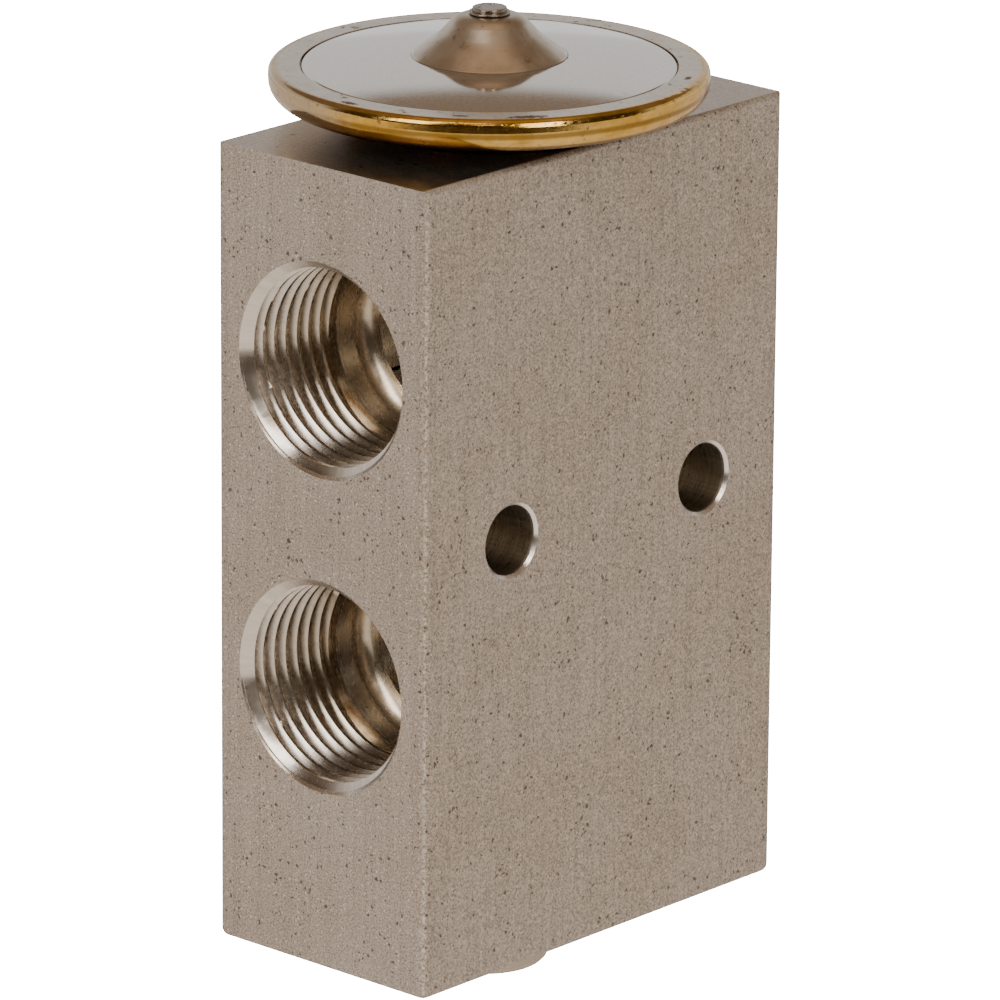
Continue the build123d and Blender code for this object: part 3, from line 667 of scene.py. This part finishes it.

# %% [markdown]
# ## The spring in two halves
#
# The spring is wound from wire and stands between the adjuster and the ball's carrier, and both of
# them move. A copy of its CAD mesh is merged and cut in two at half its height, and the two halves
# stand in place of the CAD spring.

# %% Spring halves
SPRING_END_COIL = 0.9 * MM
WIRE_SMOOTH_UP_TO = 40
spring_low, spring_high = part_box("superheat_spring")
spring_middle = (spring_low + spring_high) / 2
spring_size = spring_high - spring_low
spring_halves = []
for label, body, sign in (("lower", "adjuster_slide", -1), ("upper", "stem", 1)):
    half = bpy.data.objects.new(f"spring_{label}_half", nodes["superheat_spring"].data.copy())
    bpy.context.scene.collection.objects.link(half)
    select_only(half)
    bpy.ops.mesh.customdata_custom_splitnormals_clear()
    bpy.ops.object.mode_set(mode="EDIT")
    bpy.ops.mesh.select_all(action="SELECT")
    bpy.ops.mesh.remove_doubles(threshold=SAME_PLACE)
    bpy.ops.mesh.normals_make_consistent(inside=False)
    bpy.ops.object.mode_set(mode="OBJECT")
    level = spring_middle + Vector((0, 0, sign * spring_size.z / 2))
    room = cube("half_room", spring_size + Vector((OVERRUN, OVERRUN, 0)), level)
    apply_modifier(half, "BOOLEAN", operation="INTERSECT", solver="EXACT", object=room)
    bpy.data.objects.remove(room)
    select_only(half)
    bpy.ops.object.shade_smooth_by_angle(angle=radians(WIRE_SMOOTH_UP_TO))
    end = level - Vector((0, 0, sign * SPRING_END_COIL))
    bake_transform(half)
    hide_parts("superheat_spring")
    spring_halves.append(half)
print("spring halves:", [(half.name, len(half.data.polygons)) for half in spring_halves])

# %% [markdown]
# ## Effects shared by the finishes
#
# Three effects come back on many metals: the fine grain and pits of a rough surface, the rings
# that a lathe or a press leaves, and stains. Each is a node group with named inputs, built once,
# so that every finish sets its own values. The patterns are measured in millimetres on the piece.
# First come the helpers that open a group, read a place in millimetres and link the results.

# %% Group helpers


def effect_group(name, inputs, outputs):
    """An empty shader node group with float or vector inputs and outputs, and its two end nodes."""
    group = bpy.data.node_groups.new(name, "ShaderNodeTree")
    for label, value in inputs.items():
        kind = "NodeSocketVector" if isinstance(value, tuple) else "NodeSocketFloat"
        socket = group.interface.new_socket(name=label, in_out="INPUT", socket_type=kind)
        socket.default_value = value
    for label in outputs:
        group.interface.new_socket(name=label, in_out="OUTPUT", socket_type="NodeSocketFloat")
    ends = group.nodes.new("NodeGroupInput"), group.nodes.new("NodeGroupOutput")
    return group, ends[0].outputs, ends[1].inputs


def give_back(group, result, **values):
    """Links the group's outputs, each named after its value."""
    for label, value in values.items():
        group.links.new(value, result[label])


def millimetres(tree, stretch=(1, 1, 1)):
    """Object coordinates in millimetres, squeezed along each axis by the given factors."""
    place = add(tree, "TexCoord").outputs["Object"]
    return vector_maths(tree, "MULTIPLY", place, [factor / MM for factor in stretch])


def noise(tree, scale, place=None, detail=2.0, roughness=0.5):
    """A noise value; its scale, a number or an output, is in waves for each millimetre."""
    links = {"Vector": place or millimetres(tree)}
    settings = {"Detail": detail, "Roughness": roughness}
    (links if isinstance(scale, bpy.types.NodeSocket) else settings)["Scale"] = scale
    return add(tree, "TexNoise", links, **settings).outputs["Fac"]


# %% [markdown]
# ## Grain, pits and painted glints
#
# Fine noise gives the grain, and a second noise stretched along the bar gives its streaks. A
# Voronoi texture scatters the pits: each cell draws a chance, so most pits stay tiny and a few
# grow. Another one scatters painted glints, bright specks that stand in for light caught by tiny
# facets, and keeps one cell in a few.

# %% Grain group
BAR_STRETCH = (1.2, 1.2, 0.03)
WARP = (0.5, 0.5, 0.5)

tree, given, result = effect_group(
    "grain_and_pits",
    {"Waves": 3.0, "Pits Each Millimetre": 0.9, "Pit Size": 0.13, "Streaks": 0.5},
    ("Grain", "Pits", "Sparks", "Height"),
)
grain_group = tree
place = millimetres(tree)
fine = noise(tree, given["Waves"], place, detail=3.0, roughness=0.65)
streak = noise(tree, 1.6, millimetres(tree, BAR_STRETCH), detail=3.0, roughness=0.7)
clump = noise(tree, 0.35, place, detail=2.0)
grain = about_zero(tree, fine)
streaked = times(tree, about_zero(tree, streak), given["Streaks"])
grain = maths(tree, "ADD", grain, streaked)
warped = add(tree, "TexNoise", {"Vector": place}, Scale=2.5, Detail=1.0)
shift = vector_maths(tree, "MULTIPLY_ADD", warped.outputs["Color"], WARP, place)
pits_each_mm = given["Pits Each Millimetre"]
cells = add(tree, "TexVoronoi", {"Vector": shift, "Scale": pits_each_mm})
chance = add(tree, "SeparateColor", {0: cells.outputs["Color"]})
chance = maths(tree, "POWER", chance.outputs["Red"], 2.0)
reach = times(tree, times(tree, chance, clump), given["Pit Size"])
reach = times(tree, reach, 2.0)
share = maths(tree, "DIVIDE", cells.outputs["Distance"], reach)
pit = between(tree, maths(tree, "SUBTRACT", 1.0, share, clamp=True), 0.0, 0.5)
# Painted glints: bright specks that stand in for light caught by tiny facets of the blasted
# surface.
painted_glints = add(tree, "TexVoronoi", {"Vector": place}, Scale=2.3)
painted_glint = between(tree, painted_glints.outputs["Distance"], 0.30, 0.15)
lucky = add(tree, "SeparateColor", {0: painted_glints.outputs["Color"]})
painted_glint = times(tree, painted_glint, between(tree, lucky.outputs["Green"], 0.80, 0.95))
height = times_plus(tree, pit, -1.0, fine)
give_back(tree, result, Grain=grain, Pits=pit, Sparks=painted_glint, Height=height)
print("group:", tree.name, "with", len(tree.nodes), "nodes")

# %% [markdown]
# ## Tool rings and stains
#
# The rings are one-dimensional noise, read along the distance from an axis plus the height on it,
# so they show on walls and on floors alike. The group also hands out that radius and height, which
# the finishes use to tell one zone from another. A stain is where a slow noise passes a threshold.

# %% Ring and stain groups
tree, given, result = effect_group(
    "turned_rings",
    {"Centre": (0.0, 0.0, 0.0), "Axis": (0.0, 0.0, 1.0), "Rings Each Millimetre": 6.0},
    ("Rings", "Radius", "Along"),
)
ring_group = tree
offset = vector_maths(tree, "SUBTRACT", millimetres(tree), given["Centre"])
along = vector_maths(tree, "DOT_PRODUCT", offset, given["Axis"])
on_axis = add(
    tree, "VectorMath", {0: given["Axis"], "Scale": along}, operation="SCALE"
)
away = vector_maths(tree, "DISTANCE", offset, on_axis.outputs["Vector"])
track = maths(tree, "ADD", away, along)
lines = add(tree, "TexNoise", noise_dimensions="1D", Detail=2.0)
tree.links.new(track, lines.inputs["W"])
tree.links.new(given["Rings Each Millimetre"], lines.inputs["Scale"])
give_back(tree, result, Rings=lines.outputs["Fac"], Radius=away, Along=along)

tree, given, result = effect_group(
    "stains", {"Waves": 0.5, "From": 0.62, "Softness": 0.08}, ("Stain",)
)
stain_group = tree
patch = noise(tree, given["Waves"], detail=4.0, roughness=0.7)
beyond = maths(tree, "SUBTRACT", patch, given["From"])
give_back(tree, result, Stain=maths(tree, "DIVIDE", beyond, given["Softness"], clamp=True))
print("groups:", [group.name for group in bpy.data.node_groups])

# %% [markdown]
# ## One way to close every finish
#
# Every finish ends in a Principled shader, with a Bump node for its height. These two helpers keep
# the trees below short: one places a group with its values, one builds the shader.

# %% Finish helpers
VALVE_CENTRE = (0, VALVE_Y / MM, 0)


def place_group(tree, group, **values):
    """The outputs of a group node in a tree, its inputs set by name or linked to other outputs."""
    node = tree.nodes.new("ShaderNodeGroup")
    node.node_tree = group
    for name, value in values.items():
        socket = node.inputs[name.replace("_", " ")]
        if isinstance(value, bpy.types.NodeSocket):
            tree.links.new(value, socket)
        else:
            socket.default_value = value
    return node.outputs


def grain_of(tree, waves, pits_each_mm, pit_size, streaks):
    """The outputs of the grain group."""
    return place_group(
        tree, grain_group, Waves=waves, Pits_Each_Millimetre=pits_each_mm,
        Pit_Size=pit_size, Streaks=streaks,
    )


def stain_of(tree, waves, start, softness):
    """The mask of the stain group."""
    mask = place_group(tree, stain_group, Waves=waves, From=start, Softness=softness)
    return mask["Stain"]


def two_tones(tree, value, first, second, low=0.35, high=0.65):
    """A colour that goes softly from one to another while a value goes from low to high."""
    return mix(tree, between(tree, value, low, high), first, second)


def depth_from(tree, axis):
    """The depth in mm under the nearer of the block's two faces across X or Y."""
    split = add(tree, "SeparateXYZ", {0: millimetres(tree)})
    half = getattr(BLOCK_SIZE, axis.lower()) / 2 / MM
    return maths(tree, "SUBTRACT", half, maths(tree, "ABSOLUTE", split.outputs[axis]))


def close_finish(tree, colour, roughness, metallic, height=None, depth_mm=0.01, bump=1.0):
    """A Principled shader with its relief and the material's output."""
    shader = add(
        tree, "BsdfPrincipled", {"Base Color": colour, "Roughness": roughness}, Metallic=metallic
    )
    if height is not None:
        depth = depth_mm * MM
        relief = add(tree, "Bump", {"Height": height}, Strength=bump, Distance=depth)
        tree.links.new(relief.outputs["Normal"], shader.inputs["Normal"])
    add(tree, "OutputMaterial", {"Surface": shader.outputs["BSDF"]})
    return shader


def tint(tree, colour, grain, amount):
    """A colour made lighter and darker by a grain value around zero."""
    factor = times_plus(tree, grain, amount, 1.0)
    grey = add(tree, "CombineColor", {0: factor, 1: factor, 2: factor})
    return mix(tree, 1.0, colour, grey.outputs[0], "MULTIPLY")


# %% [markdown]
# ## Blasted aluminium
#
# The outside of the block is extruded and then blasted: warm grey, quite matt, with a fine grain,
# dark pits, a few painted glints as bright specks, and faint streaks along the bar. The upright
# corners are painted brighter and glossier in patches, partly as rubbed wear and partly as a
# painted highlight along the rounded edge. The corner mask comes from the distance to both side
# faces.

# %% Block outside finish
finishes = {}


DARK_BLAST, LIGHT_BLAST = (0.395, 0.330, 0.270), (0.415, 0.356, 0.302)
PIT_COLOUR, DIRT_COLOUR = (0.070, 0.052, 0.035), (0.16, 0.12, 0.08)
GLINT_AND_RUB_COLOUR = (0.86, 0.80, 0.73)


def block_finish():
    paint, tree = new_material("blasted_aluminium")
    grain = grain_of(tree, 5.5, 1.9, 0.42, 0.16)
    from_corner = maths(tree, "MAXIMUM", depth_from(tree, "X"), depth_from(tree, "Y"))
    corner = between(tree, from_corner, 0.46, 0.24)
    near = between(tree, from_corner, 1.6, 0.7)
    rough = noise(tree, 2.6, detail=3.0, roughness=0.7)
    # Rubbed wear on the upright corners, which is partly a painted highlight along their rounded
    # edge.
    rub_and_highlight = times(tree, corner, between(tree, rough, 0.46, 0.60))
    dirt = times(tree, near, between(tree, rough, 0.50, 0.34))
    cloud = noise(tree, 0.08, detail=3.0)
    colour = two_tones(tree, cloud, DARK_BLAST, LIGHT_BLAST)
    colour = tint(tree, colour, grain["Grain"], 2.9)
    colour = lay_over(tree, colour, grain["Pits"], 0.85, PIT_COLOUR)
    colour = lay_over(tree, colour, dirt, 0.45, DIRT_COLOUR)
    # The painted glints and the corner mark are mixed toward a bright colour, a painted highlight,
    # and made glossier.
    painted_glints = times(tree, grain["Sparks"], 0.5)
    glint_and_rub_mask = maths(tree, "MAXIMUM", painted_glints, times(tree, rub_and_highlight, 0.6))
    colour = mix(tree, glint_and_rub_mask, colour, GLINT_AND_RUB_COLOUR)
    roughness = times_plus(tree, glint_and_rub_mask, -0.25, 0.62)
    close_finish(tree, colour, roughness, 0.45, grain["Height"], depth_mm=0.03, bump=0.6)
    return paint


finishes["block_aluminium"] = block_finish()
print("finish:", finishes["block_aluminium"].name)

# %% [markdown]
# ## Machined aluminium
#
# The ports, passages and bolt holes are cut after blasting, so they are bright. Deeper in each bore
# the colour is painted darker as painted shade, and the bolt holes have a painted highlight on
# their chamfers and painted shade on their walls. The tool leaves rings round the bore that are
# finer than a pixel of most pictures, but they spread each highlight across themselves. The
# Anisotropic input does that, with a Tangent built from the offset from the bore's own centre, and
# a little chatter round the axis breaks the highlights up.

# %% Bore finish
TURNING_SPREAD = 0.80  # how much the tool marks spread a highlight across themselves
BOLT_Y, BOLT_Z = bolts["pos_m"][1] / MM, bolts["pos_m"][2] / MM
BOLT_SPACING = bolts["dims"]["spacing_x_mm"]


def bore_centre(tree, axis, place):
    """The nearest bore centre along an axis, in mm, with the axis's own coordinate left at zero."""
    if axis[2]:
        return add(tree, "CombineXYZ", Y=VALVE_Y / MM).outputs[0]
    split = add(tree, "SeparateXYZ", {0: place})
    if axis[0]:
        back_hole = maths(tree, "GREATER_THAN", split.outputs["Y"], BOLT_Y)
        first = BOLT_Y - BOLT_SPACING / 2
        y = times_plus(tree, back_hole, BOLT_SPACING, first)
        return add(tree, "CombineXYZ", {"Y": y}, Z=BOLT_Z).outputs[0]
    back_port = maths(tree, "GREATER_THAN", split.outputs["Y"], 0.0)
    low_port = times_plus(tree, back_port, INLET_Z - OUTLET_Z, OUTLET_Z)
    upper = maths(tree, "GREATER_THAN", split.outputs["Z"], (SUCTION_Z + OUTLET_Z) / 2)
    rise = maths(tree, "SUBTRACT", SUCTION_Z, low_port)
    level = times_plus(tree, upper, rise, low_port)
    return add(tree, "CombineXYZ", {"Z": level}).outputs[0]


def bore_depth(tree, axis, place):
    """The depth in mm under the face that a bore along an axis is cut from."""
    if axis[2]:
        split = add(tree, "SeparateXYZ", {0: place})
        return maths(tree, "SUBTRACT", block_high.z / MM, split.outputs["Z"])
    return depth_from(tree, "X" if axis[0] else "Y")


def bore_finish(name, axis, mouth, deep, depths, roughness):
    paint, tree = new_material(name)
    place = millimetres(tree)
    centre = bore_centre(tree, axis, place)
    rings = place_group(tree, ring_group, Axis=axis, Centre=centre, Rings_Each_Millimetre=3.0)
    marks = noise(tree, 1.2, place, detail=3.0)
    cut_rings = about_zero(tree, rings["Rings"])
    # Painted shade: the colour darkens from the mouth colour to the deep colour with the depth
    # under the face.
    colour = two_tones(tree, bore_depth(tree, axis, place), mouth, deep, *depths)
    colour = tint(tree, colour, cut_rings, 0.35)
    offset = vector_maths(tree, "SUBTRACT", place, centre)
    flat = vector_maths(tree, "MULTIPLY", offset, [1 - part for part in axis])
    chatter = noise(tree, 14.0, vector_maths(tree, "NORMALIZE", flat), detail=3.0, roughness=0.7)
    colour = tint(tree, colour, about_zero(tree, chatter), 0.5)
    gloss = times_plus(tree, cut_rings, 0.12, roughness)
    gloss = times_plus(tree, about_zero(tree, marks), 0.10, gloss)
    shader = close_finish(tree, colour, gloss, 1.0, rings["Rings"], depth_mm=0.004, bump=0.4)
    shader.inputs["Anisotropic"].default_value = TURNING_SPREAD
    normal = add(tree, "NewGeometry").outputs["Normal"]
    round_way = vector_maths(tree, "CROSS_PRODUCT", offset, axis)
    across = vector_maths(tree, "CROSS_PRODUCT", normal, round_way)
    tree.links.new(across, shader.inputs["Tangent"])
    return paint


# The deep colours are painted shade in the bores; the bolt hole's edge colour is a painted
# highlight on its chamfer.
BRIGHT_CUT, SHADED_DEEP_CUT = (0.74, 0.67, 0.59), (0.60, 0.51, 0.39)
HOLE_EDGE_HIGHLIGHT, HOLE_WALL_SHADE = (0.92, 0.86, 0.80), (0.50, 0.43, 0.33)
ALONG_X, ALONG_Y, ALONG_Z = (1.0, 0.0, 0.0), (0.0, 1.0, 0.0), (0.0, 0.0, 1.0)
bore_paints = [
    bore_finish("machined_port", ALONG_Y, BRIGHT_CUT, SHADED_DEEP_CUT, (3.0, 13.0), 0.26),
    bore_finish("drilled_hole", ALONG_X, HOLE_EDGE_HIGHLIGHT, HOLE_WALL_SHADE, (0.35, 0.7), 0.30),
    bore_finish("bored_core", ALONG_Z, BRIGHT_CUT, SHADED_DEEP_CUT, (0.0, 20.0), 0.30),
]
print("bore finishes:", [paint.name for paint in bore_paints])

# %% [markdown]
# ## The milled top, and which face gets which metal
#
# The top is milled flat, so it keeps long straight feed marks. Each face of the block is then
# sorted by its middle: by its distance from the axis of a port, a passage, a bolt hole or the
# upright bore, or by its height on the flat top. What passes no test keeps the blasted finish.

# %% Sort the block's faces
WALL_MARGIN = 0.05  # how far, in mm, a face's middle may lie outside the wall that it belongs to
END_MARGIN = 0.1
CHAMFER_MARGIN = 0.02


def port_or_passage(middle):
    """True for a face on the wall or floor of a port or a cross passage."""
    inside = abs(middle.y) < BLOCK_SIZE.y / 2 - SAME_PLACE
    for name in PORT_NAMES:
        _, _, mouth, _, depth = port_sizes(name)
        side = mounts[name]["axis"][1]
        away = hypot(middle.x, middle.z - mounts[name]["pos_m"][2]) / MM
        deep = BLOCK_SIZE.y / 2 / MM - side * middle.y / MM
        if inside and away < mouth + WALL_MARGIN and 0 < deep < depth + END_MARGIN:
            return True
    for radius, level, start, end in PASSAGES:
        away = hypot(middle.x / MM, middle.z / MM - level)
        between_ends = start - END_MARGIN < middle.y / MM < end + END_MARGIN
        if inside and away < radius + WALL_MARGIN and between_ends:
            return True
    return False


def bolt_hole(middle):
    """True for a face on the wall or chamfer of a bolt hole."""
    level = middle.z - bolts["pos_m"][2]
    for sign in (-1, 1):
        y = bolts["pos_m"][1] + sign * bolts["dims"]["spacing_x_mm"] / 2 * MM
        if hypot(middle.y - y, level) / MM < hole_r + HOLE_CHAMFER + CHAMFER_MARGIN:
            return abs(middle.x) < BLOCK_SIZE.x / 2 - SAME_PLACE
    return False


def flat_top(middle):
    """True for a face of the flat top."""
    return middle.z > block_high.z - SAME_PLACE


def upright_bore(middle):
    """True for a face on the stepped bore of the valve's axis."""
    away = hypot(middle.x, middle.y - VALVE_Y) / MM
    inside = block_low.z + SAME_PLACE < middle.z < block_high.z - SAME_PLACE
    return inside and away < max(radius for radius, _ in UPRIGHT_BORE) + WALL_MARGIN


def top_finish():
    paint, tree = new_material("milled_top")
    grain = grain_of(tree, 5.0, 1.0, 0.3, 0.0)
    feed = noise(tree, 2.5, millimetres(tree, (0.15, 1, 1)))
    feed_marks = about_zero(tree, feed)
    colour = tint(tree, tint(tree, (0.50, 0.44, 0.38), grain["Grain"], 1.2), feed_marks, 0.3)
    colour = lay_over(tree, colour, grain["Pits"], 0.6, (0.08, 0.06, 0.04))
    dull = times_plus(tree, feed_marks, 0.15, 0.34)
    close_finish(tree, colour, dull, 1.0, feed, depth_mm=0.006, bump=0.4)
    return paint


block.data.materials.clear()
for paint in (finishes["block_aluminium"], *bore_paints, top_finish()):
    block.data.materials.append(paint)
tests = (port_or_passage, bolt_hole, upright_bore, flat_top)
for face in block.data.polygons:
    passed = (count for count, test in enumerate(tests, 1) if test(face.center))
    face.material_index = next(passed, 0)
indices = [face.material_index for face in block.data.polygons]
counts = [indices.count(index) for index in range(len(tests) + 1)]
print("faces outside, in ports, in bolt holes, in the core, on top:", counts)

# %% [markdown]
# ## Golden plating
#
# The lower cup is zinc plated and passivated, which gives yellow colours on its side. Across the
# rolled side a dark olive band is painted where the side reflects the dark room, and the lower
# edge, where the side turns under, is painted darker as shade. Toward the left end of the rim the
# film is painted paler and greyer, as a painted highlight. On the flat ring at the top the film is
# thinner and rubbed to a tan silver, with a golden line at its outer edge and a few rust marks.
# Radius and height around the valve's axis tell them apart.

# %% Plated cup finish
RIM_TOP = rim_high.z / MM
HIGHLIGHT_SIDE = (-0.74, -0.67, 0.0)  # toward the end of the rim where the film is painted paler, as a painted highlight
HIGHLIGHT_WIDTH = 5.0
DARK_GOLD, LIGHT_GOLD = (0.52, 0.29, 0.045), (0.66, 0.42, 0.12)
DARK_SILVER, LIGHT_SILVER = (0.66, 0.60, 0.53), (0.72, 0.67, 0.61)
RUST_MARKS = [  # x, y and half size along and across the ring, in mm
    (0.3, -20.9, 1.4, 0.55), (15.1, -13.4, 2.6, 0.65),
    (16.4, 6.8, 0.8, 0.45), (10.5, -17.3, 1.2, 0.35),
]


def rust_marks(tree):
    """A mask of the rust marks on the flat ring, with ragged outlines."""
    place = millimetres(tree)
    ragged = noise(tree, 1.6, place, detail=4.0, roughness=0.7)
    wobble = times_plus(tree, ragged, 2.4, -1.2)
    mask = 0.0
    for x, y, along, across in RUST_MARKS:
        outward = Vector((x, y - VALVE_Y / MM)).normalized()
        near = vector_maths(tree, "SUBTRACT", place, (x, y, RIM_TOP))
        sides = []
        for axis, half in (((*outward, 0), across), ((-outward.y, outward.x, 0), along)):
            part = vector_maths(tree, "DOT_PRODUCT", near, axis)
            sides.append(maths(tree, "POWER", maths(tree, "DIVIDE", part, half), 2.0))
        reach = maths(tree, "ADD", maths(tree, "ADD", sides[0], sides[1]), wobble)
        mask = maths(tree, "MAXIMUM", mask, between(tree, reach, 0.7, 0.2))
    return mask


def plated_finish():
    paint, tree = new_material("golden_plating")
    rings = place_group(tree, ring_group, Centre=VALVE_CENTRE, Rings_Each_Millimetre=5.0)
    film = noise(tree, 0.22, detail=4.0, roughness=0.6)
    fine = noise(tree, 2.2, detail=3.0, roughness=0.6)
    smear = noise(tree, 0.5, millimetres(tree, (1, 1, 3)), detail=4.0, roughness=0.7)
    gold = two_tones(tree, film, DARK_GOLD, LIGHT_GOLD)
    gold = tint(tree, gold, about_zero(tree, smear), 0.9)
    below = maths(tree, "SUBTRACT", RIM_TOP, rings["Along"])
    # Painted reflection: a dark olive band across the rolled side, where it faces the dark room.
    dark_reflection_band = between(tree, below, 1.15, 1.45)
    dark_reflection_band = times(tree, dark_reflection_band, between(tree, below, 1.95, 1.65))
    gold = lay_over(tree, gold, dark_reflection_band, 0.75, (0.17, 0.09, 0.012))
    # Painted shade: the lower edge of the side, where it turns under, is darkened.
    under = between(tree, times_plus(tree, smear, 0.8, below), 2.95, 3.65)
    gold = lay_over(tree, gold, under, 0.85, (0.12, 0.065, 0.025))
    # Painted highlight: the film is painted paler and greyer toward the rim's left end, where its
    # side turns away toward the outline.
    aside = vector_maths(tree, "DOT_PRODUCT", millimetres(tree), HIGHLIGHT_SIDE)
    aside = times_plus(tree, smear, HIGHLIGHT_WIDTH, aside)
    painted_side_highlight = between(tree, aside, RIM_R / MM - HIGHLIGHT_WIDTH, RIM_R / MM)
    gold = lay_over(tree, gold, painted_side_highlight, 0.75, (0.47, 0.37, 0.26))
    silver = two_tones(tree, fine, DARK_SILVER, LIGHT_SILVER)
    silver = tint(tree, silver, about_zero(tree, smear), 0.6)
    on_top = between(tree, rings["Along"], RIM_TOP - 0.25, RIM_TOP - 0.05)
    edge = times_plus(tree, fine, 0.4, rings["Radius"])
    inner = between(tree, edge, RIM_R / MM - 0.45, RIM_R / MM - 0.85)
    worn = times(tree, on_top, inner)
    colour = mix(tree, worn, gold, silver)
    stain = stain_of(tree, 0.55, 0.62, 0.06)
    grime = stain_of(tree, 1.6, 0.56, 0.14)
    colour = lay_over(tree, colour, stain, 0.65, (0.16, 0.085, 0.035))
    colour = lay_over(tree, colour, grime, 0.40, (0.20, 0.13, 0.06))
    rust = rust_marks(tree)
    colour = lay_over(tree, colour, rust, 0.85, (0.13, 0.06, 0.025))
    colour = tint(tree, colour, about_zero(tree, rings["Rings"]), 0.12)
    dull = times_plus(tree, maths(tree, "MAXIMUM", stain, rust), 0.25, 0.16)
    dull = times_plus(tree, worn, 0.14, dull)
    dull = times_plus(tree, about_zero(tree, fine), 0.14, dull)
    close_finish(tree, colour, dull, 1.0, fine, depth_mm=0.008, bump=0.5)
    return paint


finishes["plated_steel"] = plated_finish()
print("finish:", finishes["plated_steel"].name, "with", len(RUST_MARKS), "rust marks")

# %% [markdown]
# ## Polished cap
#
# The cap is pressed from stainless sheet and polished on the dome, so it works as a curved mirror.
# The cone in the middle is satin and stained, and its darker brown colour is a painted reflection
# of the dark room around it. A thin brown line is painted in the crease where the cone leaves the
# dome, as the dark reflection that the fillet there shows.

# %% Cap finish
CONE_BASE_R = 7.15  # where the cone leaves the dome
DARK_DOME, LIGHT_DOME = (0.70, 0.675, 0.655), (0.76, 0.735, 0.715)
DARK_CONE_REFLECTION, LIGHT_CONE_REFLECTION = (0.50, 0.425, 0.34), (0.60, 0.53, 0.45)


def cap_finish():
    paint, tree = new_material("polished_cap")
    rings = place_group(tree, ring_group, Centre=VALVE_CENTRE, Rings_Each_Millimetre=4.0)
    fine = noise(tree, 3.5, detail=3.0, roughness=0.7)
    soft = noise(tree, 0.5, detail=3.0)
    cone = between(tree, rings["Radius"], CONE_BASE_R + 0.05, CONE_BASE_R - 0.25)
    dome_colour = two_tones(tree, fine, DARK_DOME, LIGHT_DOME, 0.4, 0.6)
    # Painted reflection: the cone's darker brown stands in for the dark room that it reflects.
    cone_reflection_colour = two_tones(tree, soft, DARK_CONE_REFLECTION, LIGHT_CONE_REFLECTION)
    colour = mix(tree, cone, dome_colour, cone_reflection_colour)
    stain = stain_of(tree, 0.7, 0.60, 0.16)
    stained = times(tree, times(tree, stain, cone), 0.6)
    colour = mix(tree, stained, colour, (0.20, 0.12, 0.05))
    # Painted reflection: a thin dark brown line in the crease at the foot of the cone.
    crease_reflection = maths(tree, "ABSOLUTE", maths(tree, "SUBTRACT", rings["Radius"], CONE_BASE_R))
    crease_reflection = times(tree, between(tree, crease_reflection, 0.14, 0.02), 0.6)
    colour = mix(tree, crease_reflection, colour, (0.22, 0.15, 0.09))
    dull = times_plus(tree, cone, 0.24, 0.085)
    dull = times_plus(tree, about_zero(tree, fine), 0.08, dull)
    close_finish(tree, colour, dull, 1.0, fine, depth_mm=0.003, bump=0.25)
    return paint


finishes["cap_steel"] = cap_finish()
print("finish:", finishes["cap_steel"].name)

# %% [markdown]
# ## The other metals and the seals
#
# The pin, the rod, the seat, the spring and the adjuster share the same three effects with other
# values: steel with turned rings, dark spring steel with a drawn grain, and the adjuster in a
# beige chromate. The seals are green-black rubber with a matt, slightly mottled skin.

# %% Small piece finishes


def turned_metal(name, dark, light, roughness, rings_each_mm=6.0, stain_from=0.66, relief=0.006):
    """A turned metal between two colours, with tool rings, a fine grain and a few stains."""
    paint, tree = new_material(name)
    rings = place_group(tree, ring_group, Centre=VALVE_CENTRE, Rings_Each_Millimetre=rings_each_mm)
    grain = grain_of(tree, 3.0, 0.8, 0.2, 0.2)
    stain = stain_of(tree, 0.8, stain_from, 0.08)
    colour = two_tones(tree, rings["Rings"], dark, light, 0.3, 0.7)
    colour = tint(tree, colour, grain["Grain"], 0.25)
    colour = lay_over(tree, colour, stain, 0.6, (0.14, 0.09, 0.05))
    dull = times_plus(tree, about_zero(tree, rings["Rings"]), 0.2, roughness)
    dull = times_plus(tree, stain, 0.2, dull)
    close_finish(tree, colour, dull, 1.0, rings["Rings"], depth_mm=relief, bump=0.5)
    return paint


def rubber_finish():
    paint, tree = new_material("seal_rubber")
    grain = grain_of(tree, 4.0, 1.5, 0.1, 0.0)
    bloom = stain_of(tree, 1.2, 0.5, 0.3)
    colour = lay_over(tree, (0.012, 0.022, 0.016), bloom, 0.5, (0.05, 0.065, 0.055))
    colour = tint(tree, colour, grain["Grain"], 0.6)
    dull = times_plus(tree, grain["Grain"], 0.3, 0.5)
    close_finish(tree, colour, dull, 0.0, grain["Height"], depth_mm=0.02, bump=0.3)
    return paint


METALS = {  # darker colour, lighter colour, roughness and other settings
    "turned_steel": ((0.46, 0.44, 0.42), (0.60, 0.58, 0.56), 0.28),
    "spring_steel": ((0.24, 0.235, 0.23), (0.34, 0.335, 0.33), 0.34, 3.0),
    "adjuster_metal": ((0.56, 0.47, 0.37), (0.68, 0.59, 0.48), 0.38),
    "welded_pin": ((0.27, 0.23, 0.19), (0.40, 0.35, 0.30), 0.30, 3.0, 0.56, 0.02),
}
metals = {name: turned_metal(name, *settings) for name, settings in METALS.items()}
finishes["plain_steel"] = metals["turned_steel"]
finishes["spring_steel"] = metals["spring_steel"]
finishes["adjuster_metal"] = metals["adjuster_metal"]
finishes["seal_rubber"] = rubber_finish()
for entry in frame["record"]["subparts"]:
    slots = nodes[entry["node"]].data.materials
    slots.clear()
    at_cone = entry["node"] == "charge_plug"
    slots.append(metals["welded_pin"] if at_cone else finishes[entry["material_slot"]])
for half in spring_halves:
    half.data.materials.clear()
    half.data.materials.append(finishes["spring_steel"])
print("finishes:", sorted(finishes))

# %% [markdown]
# ## Last look
#
# The CAD model's box, measured when the model was loaded, is printed once more.

# %% Print the CAD box
print("CAD box:", cad_box)
